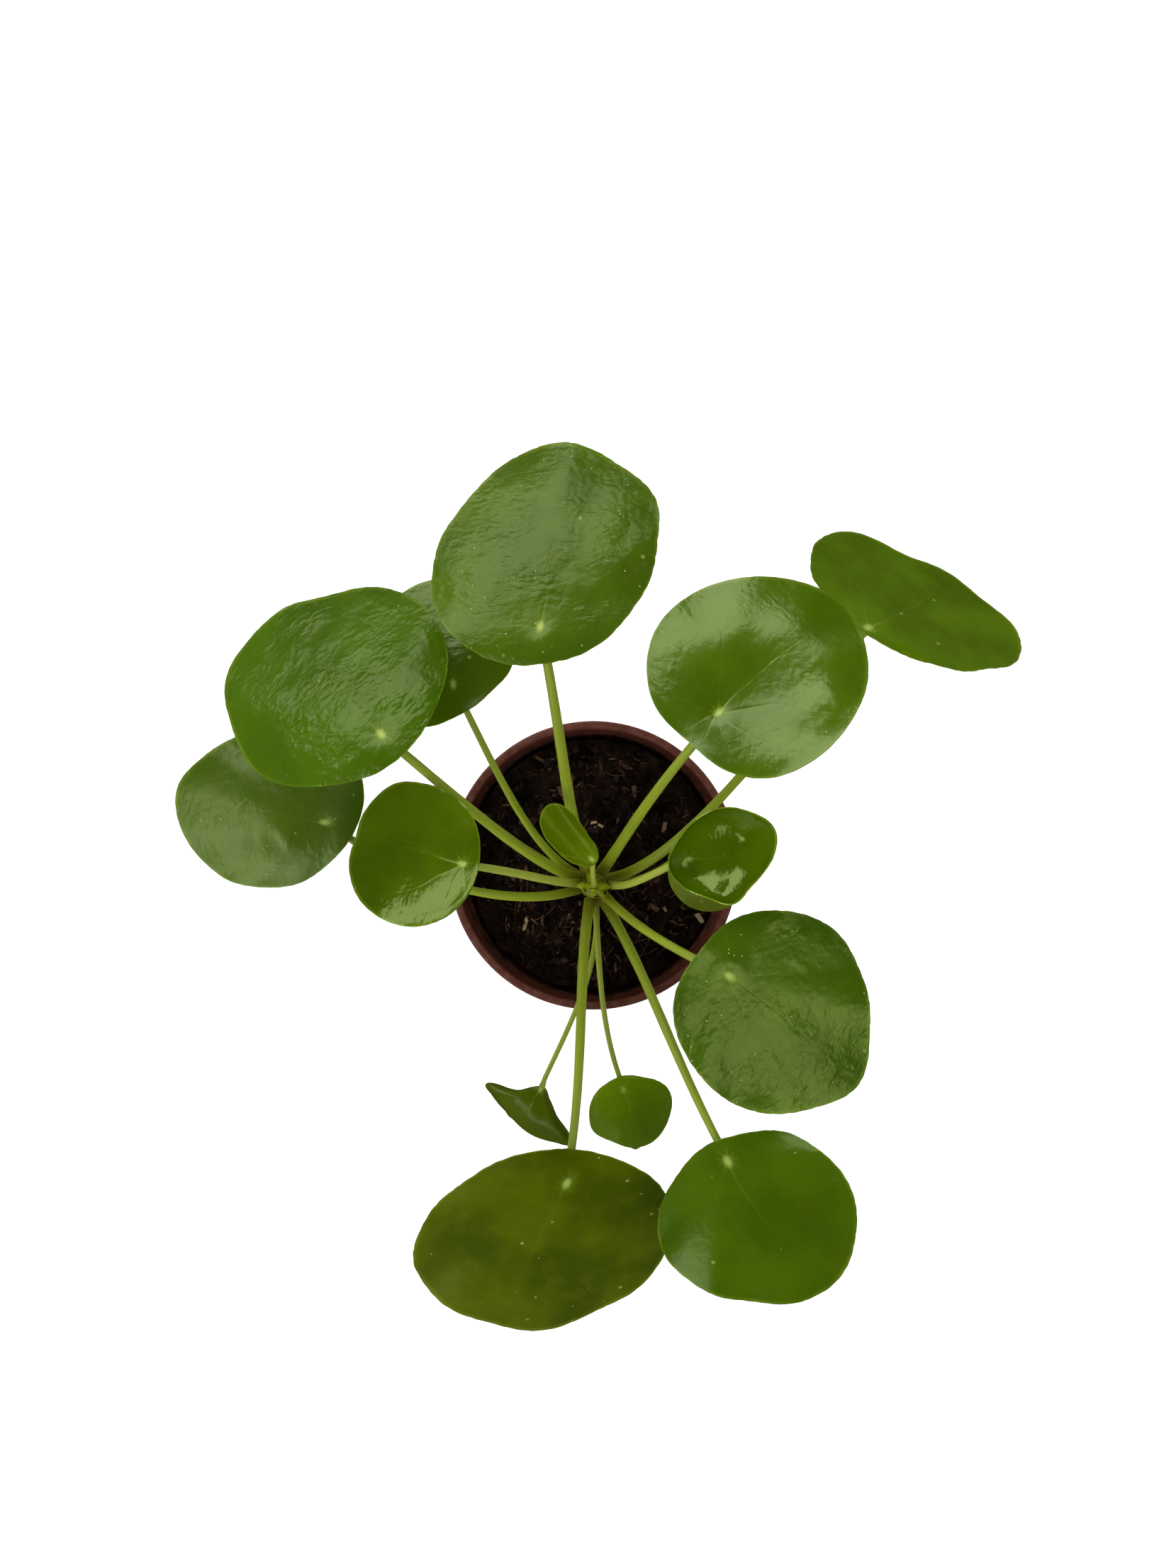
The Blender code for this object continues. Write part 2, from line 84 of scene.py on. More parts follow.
def rounded(corners, steps=5):
    """A profile with each (radius, height, bend) corner turned into a smooth curve of that size."""
    profile = []
    for i, (radius, height, bend) in enumerate(corners):
        here = Vector((radius, height))
        if bend == 0 or i in (0, len(corners) - 1):
            profile.append(here)
            continue
        before = Vector(corners[i - 1][:2]) - here
        after = Vector(corners[i + 1][:2]) - here
        start = here + before.normalized() * min(bend, before.length / 2)
        end = here + after.normalized() * min(bend, after.length / 2)
        for step in range(steps + 1):
            t = step / steps
            profile.append((1 - t) ** 2 * start + 2 * t * (1 - t) * here + t * t * end)
    return profile


def take(piece):
    """Selects one piece and nothing else."""
    bpy.ops.object.select_all(action="DESELECT")
    piece.select_set(True)
    bpy.context.view_layer.objects.active = piece


def draw_ring(sides, radius=1.0, place=(0.0, 0.0, 0.0)):
    """A new ring of edges, selected and open for editing."""
    bpy.ops.object.select_all(action="DESELECT")
    bpy.ops.mesh.primitive_circle_add(vertices=sides, radius=radius, location=place)
    bpy.ops.object.mode_set(mode="EDIT")
    bpy.ops.mesh.select_all(action="SELECT")
    bpy.ops.mesh.select_mode(type="EDGE")
    return bpy.context.object


def face_outwards():
    """Turns the faces of the mesh that is being edited outwards, and ends the editing."""
    bpy.ops.mesh.select_all(action="SELECT")
    bpy.ops.mesh.normals_make_consistent(inside=False)
    bpy.ops.object.mode_set(mode="OBJECT")


def turn_on_wheel(name, profile, sides, centre=(0.0, 0.0)):
    """Pulls a ring up a profile, point by point, and closes both of its ends."""
    radius, height = profile[0]
    piece = draw_ring(sides, radius, (*centre, height))
    piece.name = name
    piece.data.name = name
    bpy.ops.mesh.edge_face_add()
    for new_radius, new_height in profile[1:]:
        bpy.ops.mesh.extrude_edges_move(TRANSFORM_OT_translate={"value": (0, 0, new_height - height)})
        spread = new_radius / radius
        middle = (*centre, new_height)
        bpy.ops.transform.resize(value=(spread, spread, 1), center_override=middle)
        radius, height = new_radius, new_height
    bpy.ops.mesh.edge_face_add()
    bpy.ops.mesh.select_all(action="SELECT")
    bpy.ops.mesh.remove_doubles(threshold=SAME_POINT)
    face_outwards()
    bpy.ops.object.transform_apply(location=True, rotation=True, scale=True)
    return piece


def pot_corners():
    """Up the outside and down the inside, with the size of each corner's rounding."""
    band_foot = POT_HEIGHT - BAND_HEIGHT
    step = POT_HEIGHT - STEP_DROP
    inner_rim = RIM_RADIUS - LIP_WIDTH
    return [
        (HUB_RADIUS, 0.0, 0),
        (BASE_RADIUS - 0.0004, 0.0, 0.0012),
        (wall_radius(0.004) - 0.0001, 0.004, 0.002),
        (wall_radius(step) - STEP_DEPTH, step - 0.0015, 0.0008),
        (wall_radius(step), step, 0.0008),
        (wall_radius(band_foot), band_foot, 0.0004),
        (RIM_RADIUS - 0.0010, band_foot, 0.0006),
        (RIM_RADIUS - 0.0006, band_foot + 0.003, 0.002),
        (RIM_RADIUS, POT_HEIGHT - 0.0022, 0.002),
        (RIM_RADIUS, POT_HEIGHT, 0.0013),
        (inner_rim, POT_HEIGHT, 0.0013),
        (inner_rim - 0.0004, POT_HEIGHT - 0.004, 0.003),
        (wall_radius(band_foot) - POT_WALL, band_foot, 0.003),
        (wall_radius(BASE_THICKNESS) - POT_WALL, BASE_THICKNESS, 0.0012),
        (HUB_RADIUS, BASE_THICKNESS, 0),
    ]


def drill_drain_holes(pot):
    """Round holes on a ring, cut by cylinders that are joined into one tool."""
    drills = []
    for i in range(DRAIN_HOLES):
        angle = math.tau * i / DRAIN_HOLES
        place = (DRAIN_RING_RADIUS * math.cos(angle), DRAIN_RING_RADIUS * math.sin(angle), 0.0)
        bpy.ops.object.select_all(action="DESELECT")
        bpy.ops.mesh.primitive_cylinder_add(
            vertices=DRILL_SIDES, radius=DRAIN_HOLE_RADIUS, depth=4 * BASE_THICKNESS, location=place
        )
        drills.append(bpy.context.object)
    for drill in drills:
        drill.select_set(True)
    bpy.ops.object.join()
    tool = bpy.context.object
    holes = pot.modifiers.new("drain_holes", "BOOLEAN")
    holes.operation = "DIFFERENCE"
    holes.object = tool
    take(pot)
    bpy.ops.object.modifier_apply(modifier="drain_holes")
    bpy.data.objects.remove(tool, do_unlink=True)


def smooth(piece, angle=60):
    """Shades a piece smooth, but for its edges that are sharper than the angle."""
    take(piece)
    bpy.ops.object.shade_smooth_by_angle(angle=math.radians(angle))


def put_node(tree, kind, sockets=None, **settings):
    """Adds a shader node. Each of its sockets gets a value, or another node's output."""
    node = tree.nodes.new(kind)
    for setting, value in settings.items():
        setattr(node, setting, value)
    for socket, value in (sockets or {}).items():
        if isinstance(value, bpy.types.NodeSocket):
            tree.links.new(value, node.inputs[socket])
        else:
            node.inputs[socket].default_value = value
    return node


def reckon(tree, operation, *values):
    """One step of arithmetic on numbers and on nodes' outputs."""
    return put_node(tree, "ShaderNodeMath", dict(enumerate(values)), operation=operation).outputs[0]


def scaled(tree, value, slope, rise):
    """The value times the slope, plus the rise."""
    return reckon(tree, "MULTIPLY_ADD", value, slope, rise)


def times(tree, first, *others):
    """The product of numbers and of nodes' outputs."""
    for other in others:
        first = reckon(tree, "MULTIPLY", first, other)
    return first


def reckon_vector(tree, operation, *values):
    """One step of arithmetic on vectors, which gives a number for a length or a dot product."""
    node = put_node(tree, "ShaderNodeVectorMath", dict(enumerate(values)), operation=operation)
    return node.outputs["Value" if operation in ("LENGTH", "DOT_PRODUCT") else "Vector"]


def fade(tree, value, start, end, first=0.0, last=1.0):
    """Goes smoothly from first to last as value goes from start to end."""
    sockets = {"Value": value, "From Min": start, "From Max": end, "To Min": first, "To Max": last}
    return put_node(tree, "ShaderNodeMapRange", sockets, interpolation_type="SMOOTHSTEP").outputs[0]


def tint(tree, share, ground, paint):
    """Lays a share of one colour on another."""
    sockets = {0: share, 6: ground, 7: paint}
    return put_node(tree, "ShaderNodeMix", sockets, data_type="RGBA").outputs[2]


def haze(tree, place, scale, detail):
    """Soft random cloudiness, mostly from 0.3 to 0.7."""
    return put_node(
        tree, "ShaderNodeTexNoise", {"Vector": place, "Scale": scale, "Detail": detail}
    ).outputs[0]


def object_place(tree):
    """The place on the piece, in metres."""
    return put_node(tree, "ShaderNodeTexCoord").outputs["Object"]


def carried(tree, name, kind="Fac"):
    """A value that every point of the mesh carries."""
    return put_node(tree, "ShaderNodeAttribute", attribute_name=name).outputs[kind]


def open_group(name, inputs, outputs):
    """A new node group, with its (name, kind, default) inputs and its (name, kind) outputs."""
    group = bpy.data.node_groups.new(name, "ShaderNodeTree")
    for label, kind, default in inputs:
        socket = group.interface.new_socket(label, in_out="INPUT", socket_type=f"NodeSocket{kind}")
        if default is not None:
            socket.default_value = default
    for label, kind in outputs:
        group.interface.new_socket(label, in_out="OUTPUT", socket_type=f"NodeSocket{kind}")
    inside = group.nodes.new("NodeGroupInput").outputs
    return group, inside, group.nodes.new("NodeGroupOutput").inputs


def uneven_tone_group():
    """Two masks of unevenness, one broad and one fine, for every surface but the faces of the leaves."""
    group, inside, out = open_group(
        "uneven_tone",
        [("Place", "Vector", None), ("Broad Scale", "Float", 40.0), ("Fine Scale", "Float", 400.0)],
        [("Broad", "Float"), ("Fine", "Float")],
    )
    for label, detail in (("Broad", 3.0), ("Fine", 4.0)):
        cloud = haze(group, inside["Place"], inside[f"{label} Scale"], detail)
        group.links.new(fade(group, cloud, 0.3, 0.7), out[label])
    return group


def new_finish(name, **fixed):
    """A material, whose shader's sockets get the fixed values, and its node tree."""
    finish = bpy.data.materials.new(name)
    finish.use_nodes = True
    shader = finish.node_tree.nodes["Principled BSDF"]
    for socket, value in fixed.items():
        shader.inputs[socket.replace("_", " ")].default_value = value
    return finish, finish.node_tree


def use_group(tree, group, **sockets):
    """Places a node group, with its sockets set by name."""
    named = {socket.replace("_", " "): value for socket, value in sockets.items()}
    return put_node(tree, "ShaderNodeGroup", named, node_tree=group).outputs


UNEVEN_TONE = uneven_tone_group()


def uneven_finish(name, broad_scale, fine_scale, **fixed):
    """A material that is uneven in tone, its node tree, and the two masks."""
    finish, tree = new_finish(name, **fixed)
    scales = {"Broad_Scale": broad_scale, "Fine_Scale": fine_scale}
    return finish, tree, use_group(tree, UNEVEN_TONE, Place=object_place(tree), **scales)


def lay_on(finish, colour, rough=None, height=None, depth=0.0):
    """Joins a surface to its material, with low relief that is depth metres deep where height is 1."""
    tree = finish.node_tree
    shader = tree.nodes["Principled BSDF"]
    tree.links.new(colour, shader.inputs["Base Color"])
    if rough:
        tree.links.new(rough, shader.inputs["Roughness"])
    if height:
        bump = put_node(tree, "ShaderNodeBump", {"Height": height, "Distance": depth})
        tree.links.new(bump.outputs[0], shader.inputs["Normal"])
    return finish


CLEAN_PLASTIC = (0.136, 0.0316, 0.0193, 1)
SHADED_PLASTIC = (0.109, 0.0240, 0.0142, 1)
CHALKED_PLASTIC = (0.205, 0.075, 0.055, 1)
# Near-black for the inner wall: soil stains together with painted shade of the pot's hollow.
SOIL_STAIN_AND_SHADE = (0.020, 0.011, 0.008, 1)
RIM_WEAR = 0.0016
STAIN_AND_SHADE_STARTS, STAIN_AND_SHADE_FULL = 0.002, 0.013


def pot_finish():
    """Dull brown plastic: cloudy, chalked along the rim, and darker down its inner wall, from soil stains and
    painted shade.
    """
    finish, tree, tone = uneven_finish("nursery_plastic", 55.0, 900.0, Specular_IOR_Level=0.35)
    place = object_place(tree)
    colour = tint(tree, tone["Broad"], SHADED_PLASTIC, CLEAN_PLASTIC)
    parts = put_node(tree, "ShaderNodeSeparateXYZ", {0: place}).outputs
    flat = put_node(tree, "ShaderNodeCombineXYZ", {0: parts[0], 1: parts[1]}).outputs[0]
    scuff = haze(tree, place, 240.0, 5.0)
    rim = fade(tree, parts[2], POT_HEIGHT - RIM_WEAR, POT_HEIGHT)
    worn = times(tree, rim, fade(tree, scuff, 0.42, 0.62), 0.45)
    colour = tint(tree, worn, colour, CHALKED_PLASTIC)
    # The inner wall darkens downwards from just below the rim: partly soil stains, partly painted shade of the
    # pot's hollow.
    normal = put_node(tree, "ShaderNodeNewGeometry").outputs["Normal"]
    inner = fade(tree, reckon_vector(tree, "DOT_PRODUCT", normal, flat), 0.0, -0.01)
    low = fade(tree, parts[2], POT_HEIGHT - STAIN_AND_SHADE_STARTS, POT_HEIGHT - STAIN_AND_SHADE_FULL)
    off_base = fade(tree, parts[2], 0.002, 0.01)
    stain_and_shade = times(tree, inner, low, fade(tree, scuff, 0.62, 0.38), off_base)
    colour = tint(tree, stain_and_shade, colour, SOIL_STAIN_AND_SHADE)
    rough = scaled(tree, tone["Fine"], 0.14, 0.46)
    rough = scaled(tree, stain_and_shade, 0.25, rough)
    return lay_on(finish, colour, rough, tone["Fine"], 0.00006)


def dress(piece, finishes, slot, *nodes):
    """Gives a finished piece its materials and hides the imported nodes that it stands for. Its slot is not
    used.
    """
    piece.data.materials.clear()
    for finish in finishes:
        piece.data.materials.append(finish)
    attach(piece, "root")
    if nodes:
        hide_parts(*nodes)


pot = turn_on_wheel("nursery_pot", rounded(pot_corners()), POT_SIDES)
drill_drain_holes(pot)
smooth(pot, 32)
dress(pot, [pot_finish()], "pot", "pot")

# Soil
# Peat potting soil, pressed in round the stem by hand: a dark crumbly bed that lies lower at the left and
# right, littered with plant fibres, bark chips and a few pale grains.
GAP = 0.0003
SOIL_GAP = 0.0005
SOIL_DEPTH_SIDES = 0.019
SOIL_DEPTH_ENDS = 0.011
SOIL_MOUND = 0.0042
SOIL_LUMP, SOIL_LUMP_SIZE = 0.0022, 0.011
SOIL_CRUMB, SOIL_CRUMB_SIZE = 0.0011, 0.0048
FINE_CRUMB, FINE_CRUMB_SIZE = 0.0014, 0.0026
GRAIN, GRAIN_SIZE = 0.0008, 0.0012
CLOD, CLOD_SIZE = 0.0020, 0.0040
CLOD_SHIFT = Vector((7.0, 3.0, 1.0))
BED_RADIUS = wall_radius(POT_HEIGHT - SOIL_DEPTH_SIDES - SOIL_LUMP - SOIL_CRUMB) - POT_WALL - SOIL_GAP
BED_SEGMENTS, BED_RINGS = 200, 64
STEM_X, STEM_Y = 0.0002, -0.0069
CLEAR_OF_STEM = 0.006
CRUMBS = 900
CRUMB_LEAST, CRUMB_SPREAD = 0.0004, 0.0016
CRUMB_FLATNESS = 0.35, 0.8
CRUMB_LUMPS = 0.9
CRUMB_PALEST = 0.40
FIBRES = 560
FIBRE_STEPS = 7
FIBRE_BEND = 75
FIBRE_LIFT = 0.0013
FIBRE_CLEARANCE = 0.0002
FIBRE_TIP = 0.35
FIBRE_DARKEST, FIBRE_TONE_SPREAD = 0.12, 0.52
WALL_MARGIN = 0.0015
TURN_AT_WALL, PULL_FROM_WALL = 0.9, 0.985
FRONT_SHARE = 0.5
ROOT_SHARE_OF_FIBRES = 0.35
ROOT_SIZES = (0.006, 0.014), (0.00012, 0.00028)
BIT_SIZES = (0.0018, 0.0050), (0.00026, 0.00060)
CHIPS = 64
CHIP_LENGTHS = 0.0015, 0.0055
CHIP_SLIMNESS = 0.25, 0.5
CHIP_TONES = 0.15, 0.58
CHIP_BEVEL = 0.16
CHIP_SLANT = 0.25
CHIP_THICKNESS, CHIP_SUNK = 0.55, 0.35
CHIP_SPLITS = 0.5

# The chips that catch the eye: place, length, width, compass angle and tone
SHOWING_CHIPS = (
    (0.0003, 0.0178, 0.0026, 0.0013, 10, 0.86),
    (0.0032, 0.0162, 0.0028, 0.0013, -30, 0.90),
    (0.0002, 0.0152, 0.0026, 0.0012, 25, 0.82),
    (0.0297, 0.0155, 0.0046, 0.0016, 80, 0.66),
    (0.0300, -0.0187, 0.0034, 0.0013, 115, 0.84),
    (0.0450, -0.0230, 0.0044, 0.0020, 125, 0.80),
    (-0.0284, -0.0250, 0.0060, 0.0014, 78, 0.80),
    (-0.0212, 0.0437, 0.0066, 0.0013, 150, 0.56),
    (-0.0090, -0.0225, 0.0046, 0.0011, 118, 0.68),
)
SOIL_SEED = 12


def lie_of_the_soil(x, y):
    """Height of the soil bed: low at the sides, piled up round the stem, and lumpy."""
    radius = math.hypot(x, y)
    side = (x / radius) ** 2 if radius > 0 else 0.0
    reach = min(1.0, radius / RIM_RADIUS)
    depth = SOIL_DEPTH_ENDS + (SOIL_DEPTH_SIDES - SOIL_DEPTH_ENDS) * side * reach
    mound = SOIL_MOUND * (1.0 - reach**2)
    place = Vector((x, y, 0.0)) / SOIL_LUMP_SIZE
    crumbs = Vector((x, y, 0.0)) / SOIL_CRUMB_SIZE
    lumps = SOIL_LUMP * noise.noise(place) + SOIL_CRUMB * noise.noise(crumbs)
    return POT_HEIGHT - depth + mound + lumps


def crumbly(x, y):
    """Height of the soil bed with its crumbs and clods."""
    place = Vector((x, y, 0.0))
    rough = FINE_CRUMB * noise.noise(place / FINE_CRUMB_SIZE) + GRAIN * noise.noise(place / GRAIN_SIZE)
    clods = CLOD * max(0.0, noise.noise(place / CLOD_SIZE + CLOD_SHIFT))
    return lie_of_the_soil(x, y) + rough + clods


def put_away(model):
    """Keeps a model's mesh, to copy from, and removes the model."""
    mesh = model.data
    bpy.data.objects.remove(model, do_unlink=True)
    return mesh


def model_disc(segments, rings):
    """The mesh of a flat disc of unit size, ring inside ring round one hub."""
    disc = draw_ring(segments)
    for ring in range(rings - 1, 0, -1):
        share = ring / (ring + 1)
        bpy.ops.mesh.extrude_edges_move()
        bpy.ops.transform.resize(value=(share, share, 1), center_override=(0, 0, 0))
    bpy.ops.mesh.extrude_edges_move()
    bpy.ops.mesh.merge(type="CENTER")
    face_outwards()
    if disc.data.polygons[0].normal.z < 0:
        disc.data.flip_normals()
    return put_away(disc)


def piece_from(name, mesh, places):
    """A copy of a modelled mesh, with its points moved to their places."""
    copy = mesh.copy()
    copy.name = name
    for vertex, place in zip(copy.vertices, places):
        vertex.co = place
    piece = bpy.data.objects.new(name, copy)
    bpy.context.scene.collection.objects.link(piece)
    return piece


def lay_bed():
    """The crumbly top, with a wall drawn down from its edge and closed by a flat floor."""
    disc = model_disc(BED_SEGMENTS, BED_RINGS)
    places = []
    for vertex in disc.vertices:
        x, y = BED_RADIUS * vertex.co.x, BED_RADIUS * vertex.co.y
        places.append((x, y, crumbly(x, y)))
    bed = piece_from("potting_soil", disc, places)
    take(bed)
    bpy.ops.object.mode_set(mode="EDIT")
    bpy.ops.mesh.select_mode(type="EDGE")
    bpy.ops.mesh.select_all(action="DESELECT")
    bpy.ops.mesh.select_non_manifold()
    floor_z = BASE_THICKNESS + GAP
    drop = POT_HEIGHT - SOIL_DEPTH_SIDES - floor_z
    bpy.ops.mesh.extrude_edges_move(TRANSFORM_OT_translate={"value": (0, 0, -drop)})
    bpy.ops.transform.resize(value=(1, 1, 0), center_override=(0, 0, floor_z))
    taper = (wall_radius(floor_z) - POT_WALL - SOIL_GAP) / BED_RADIUS
    bpy.ops.transform.resize(value=(taper, taper, 1), center_override=(0, 0, floor_z))
    bpy.ops.mesh.edge_face_add()
    face_outwards()
    return bed


def model_tube(sides, rings):
    """The mesh of a straight closed tube of unit radius and unit length along Z."""
    tube = draw_ring(sides)
    bpy.ops.mesh.edge_face_add()
    for _ in range(rings):
        bpy.ops.mesh.extrude_edges_move(TRANSFORM_OT_translate={"value": (0, 0, 1 / rings)})
    bpy.ops.mesh.edge_face_add()
    face_outwards()
    return put_away(tube)


def carry(piece, name, values, kind="FLOAT"):
    """Stores a value on every point of a piece, or a vector."""
    points = piece.data.attributes.new(name, kind, "POINT").data
    if kind == "FLOAT":
        points.foreach_set("value", values)
    else:
        points.foreach_set("vector", [number for value in values for number in value])


def heap(name, unit, copies):
    """Copies of one small mesh, each with its places and its tone, joined in one piece."""
    bpy.ops.object.select_all(action="DESELECT")
    for places, tone in copies:
        copy = piece_from(name, unit, places)
        carry(copy, "tone", [tone] * len(places))
        copy.select_set(True)
        bpy.context.view_layer.objects.active = copy
    bpy.ops.object.join()
    piece = bpy.context.object
    piece.name = name
    return piece


def somewhere_on_bed(dice, margin):
    """A point of the soil bed, clear of the pot's wall and of the stem."""
    while True:
        radius = (BED_RADIUS - margin) * math.sqrt(dice.random())
        angle = dice.uniform(0, math.tau)
        x, y = radius * math.cos(angle), radius * math.sin(angle)
        if math.hypot(x - STEM_X, y - STEM_Y) > CLEAR_OF_STEM:
            return x, y


def draw_seed(dice):
    """A random place to take noise from."""
    return Vector((dice.random(), dice.random(), dice.random())) * 50


def beside(run):
    """The level direction at right angles to a run, and the one over the run."""
    side = run.cross(Vector((0, 0, 1))).normalized()
    return side, side.cross(run)


def sow_crumbs(dice):
    """Small clods of peat, each a squashed ball with its own lumps."""
    bpy.ops.object.select_all(action="DESELECT")
    bpy.ops.mesh.primitive_ico_sphere_add(subdivisions=1, radius=1.0)
    unit = put_away(bpy.context.object)
    copies = []
    for _ in range(CRUMBS):
        x, y = somewhere_on_bed(dice, margin=0.002)
        size = CRUMB_LEAST + CRUMB_SPREAD * dice.random() ** 3
        middle = Vector((x, y, crumbly(x, y) + 0.3 * size))
        flat = dice.uniform(*CRUMB_FLATNESS)
        seed = draw_seed(dice)
        places = []
        for vertex in unit.vertices:
            lump = 1 + CRUMB_LUMPS * noise.noise(1.3 * vertex.co + seed)
            places.append(middle + Vector((vertex.co.x, vertex.co.y, vertex.co.z * flat)) * size * lump)
        copies.append((places, dice.random() ** 2.5 * CRUMB_PALEST))
    return heap("soil_crumbs", unit, copies)


def strew_fibres(dice):
    """Short flat bits of peat and longer thin roots, more of them towards the front rim."""
    unit = model_tube(4, FIBRE_STEPS)
    copies = []
    for _ in range(FIBRES):
        x, y = somewhere_on_bed(dice, margin=0.004)
        if y > 0 and dice.random() < FRONT_SHARE:
            x, y = x, -y
        lengths, widths = ROOT_SIZES if dice.random() < ROOT_SHARE_OF_FIBRES else BIT_SIZES
        length, thick = dice.uniform(*lengths), dice.uniform(*widths)
        step = length / FIBRE_STEPS
        heading = dice.uniform(0, math.tau)
        bend = dice.uniform(-FIBRE_BEND, FIBRE_BEND)
        lift = dice.uniform(0.0, FIBRE_LIFT)
        line = []
        for i in range(FIBRE_STEPS + 1):
            arch = lift * math.sin(math.pi * i / FIBRE_STEPS)
            line.append(Vector((x, y, crumbly(x, y) + thick + arch + FIBRE_CLEARANCE)))
            x += step * math.cos(heading)
            y += step * math.sin(heading)
            heading += bend * step
            if math.hypot(x, y) > BED_RADIUS - WALL_MARGIN:
                heading += TURN_AT_WALL
                x, y = x * PULL_FROM_WALL, y * PULL_FROM_WALL
        places = []
        for vertex in unit.vertices:
            i = min(FIBRE_STEPS, round(vertex.co.z * FIBRE_STEPS))
            side, over = beside((line[min(i + 1, FIBRE_STEPS)] - line[max(i - 1, 0)]).normalized())
            belly = math.sin(math.pi * (i + 0.7) / (FIBRE_STEPS + 1.4))
            taper = thick * (FIBRE_TIP + (1 - FIBRE_TIP) * belly)
            places.append(line[i] + taper * (vertex.co.x * side + 0.6 * vertex.co.y * over))
        copies.append((places, FIBRE_DARKEST + FIBRE_TONE_SPREAD * dice.random() ** 1.5))
    return heap("soil_fibres", unit, copies)


def scatter_chips(dice):
    """Bark and wood chips: split slivers with broken corners, a few of them pale."""
    bpy.ops.object.select_all(action="DESELECT")
    bpy.ops.mesh.primitive_cube_add(size=1.0)
    bpy.ops.object.mode_set(mode="EDIT")
    bpy.ops.mesh.select_all(action="SELECT")
    bpy.ops.mesh.bevel(offset=CHIP_BEVEL, segments=1, affect="EDGES")
    bpy.ops.object.mode_set(mode="OBJECT")
    unit = put_away(bpy.context.object)
    chips = list(SHOWING_CHIPS)
    for _ in range(CHIPS):
        x, y = somewhere_on_bed(dice, margin=0.005)
        length = dice.uniform(*CHIP_LENGTHS)
        width = length * dice.uniform(*CHIP_SLIMNESS)
        chips.append((x, y, length, width, dice.uniform(0, 180), dice.uniform(*CHIP_TONES)))
    copies = []
    for x, y, length, width, heading, tone in chips:
        turn = math.radians(heading)
        run = Vector((math.cos(turn), math.sin(turn), dice.uniform(-CHIP_SLANT, CHIP_SLANT))).normalized()
        side, over = beside(run)
        middle = Vector((x, y, crumbly(x, y) + CHIP_SUNK * width))
        seed = draw_seed(dice)
        places = []
        for vertex in unit.vertices:
            split = 1 + CHIP_SPLITS * noise.noise(vertex.co * 1.7 + seed)
            shape = vertex.co.x * length * run
            shape += vertex.co.y * width * side + CHIP_THICKNESS * vertex.co.z * width * over
            places.append(middle + split * shape)
        copies.append((places, tone))
    return heap("bark_chips", unit, copies)


def peat_finish():
    """Damp peat: nearly black, browner on its high crumbs, with a faint wet glint."""
    finish, tree, tone = uneven_finish("damp_peat", 120.0, 850.0, Specular_IOR_Level=0.05)
    colour = tint(tree, tone["Broad"], (0.0018, 0.0009, 0.0006, 1), (0.0120, 0.0056, 0.0034, 1))
    dry = times(tree, tone["Fine"], tone["Broad"], 0.7)
    colour = tint(tree, dry, colour, (0.036, 0.017, 0.010, 1))
    rough = scaled(tree, tone["Fine"], 0.4, 0.5)
    return lay_on(finish, colour, rough, tone["Fine"], 0.0005)


def litter_finish():
    """Fibres, crumbs and chips. The tone goes from black peat through bark brown to bleached wood."""
    finish, tree, uneven = uneven_finish("soil_litter", 300.0, 1600.0, Specular_IOR_Level=0.12)
    tone = scaled(tree, uneven["Fine"], 0.10, carried(tree, "tone"))
    shades = put_node(tree, "ShaderNodeValToRGB", {"Fac": tone})
    ramp = shades.color_ramp.elements
    ramp[0].position, ramp[0].color = 0.05, (0.0034, 0.0016, 0.0010, 1)
    ramp[1].position, ramp[1].color = 1.0, (0.560, 0.420, 0.280, 1)
    for position, colour in (
        (0.30, (0.016, 0.0068, 0.0038, 1)),
        (0.50, (0.052, 0.021, 0.011, 1)),
        (0.70, (0.150, 0.072, 0.036, 1)),
        (0.88, (0.380, 0.270, 0.160, 1)),
    ):
        ramp.new(position).color = colour
    rough = scaled(tree, uneven["Broad"], 0.3, 0.5)
    return lay_on(finish, shades.outputs[0], rough, uneven["Fine"], 0.0001)


soil_dice = random.Random(SOIL_SEED)
bed = lay_bed()
smooth(bed, 70)
dress(bed, [peat_finish()], "soil", "soil")
litter = litter_finish()
for loose in (sow_crumbs(soil_dice), strew_fibres(soil_dice), scatter_chips(soil_dice)):
    dress(loose, [litter], "soil")

# Leaves, as they grow
# Each leaf is a round blade on its own stalk. The stalk meets the blade's underside inside its margin,
# where a pale spot shows on top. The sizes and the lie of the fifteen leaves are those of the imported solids.
STEM_TOP_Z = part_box("stem")[1].z
STEM_RADIUS = 0.0050
STEM_SCAR_RISE = 0.0003
BLADE_THICKNESS = 0.0008
POINT_HALF_WIDTH = 0.12
BROAD_WAVES, NARROW_WAVES = 5, 8
BROAD_SHIFT, NARROW_SHIFT = 1.7, 0.9
NARROW_SHARE = 0.6
HANDLE_SHARE = 0.35
TIER_HEIGHTS = {"top": 0.1275, "upper": 0.1213, "lower": 0.1150, "bottom": 0.1085}


@dataclass
class Stalk:
    """A leaf stalk, from the stem to the underside of the blade."""

    tier: str  # height at which it leaves the stem
    leaves: float  # compass angle there
    lift: float  # how steeply it rises there
    reaches: float  # compass angle at the blade
    ends: float  # how steeply it still rises there
    thick: float  # diameter at the stem
    thin: float  # diameter at the blade


@dataclass
class Leaf:
    """One leaf. The spot is where the stalk meets the blade, away from its middle and near its base."""

    number: int
    spot: tuple  # place of the blade over the end of the stalk
    heading: float  # compass angle from the spot to the blade's tip
    droop: float  # how far the tip hangs below level
    bank: float  # how far the left side is raised, seen along the heading
    middle: float  # distance along the midrib from the spot to the middle of the outline
    margin: tuple  # distances from that middle to the margin, every 30 degrees from the tip to the left
    stalk: Stalk
    cup: float = -10  # turn of the blade from spot to margin: upwards like a bowl, downwards if negative
    fold: float = 0  # turn of the blade from midrib to side margins: upwards, or downwards like a tent
    ripple: float = 0.0009  # height of the waves along the margin
    swells: tuple = ()  # low swells: place along and across from the spot, size and height
    point: float = 0.0  # length of the pointed tip


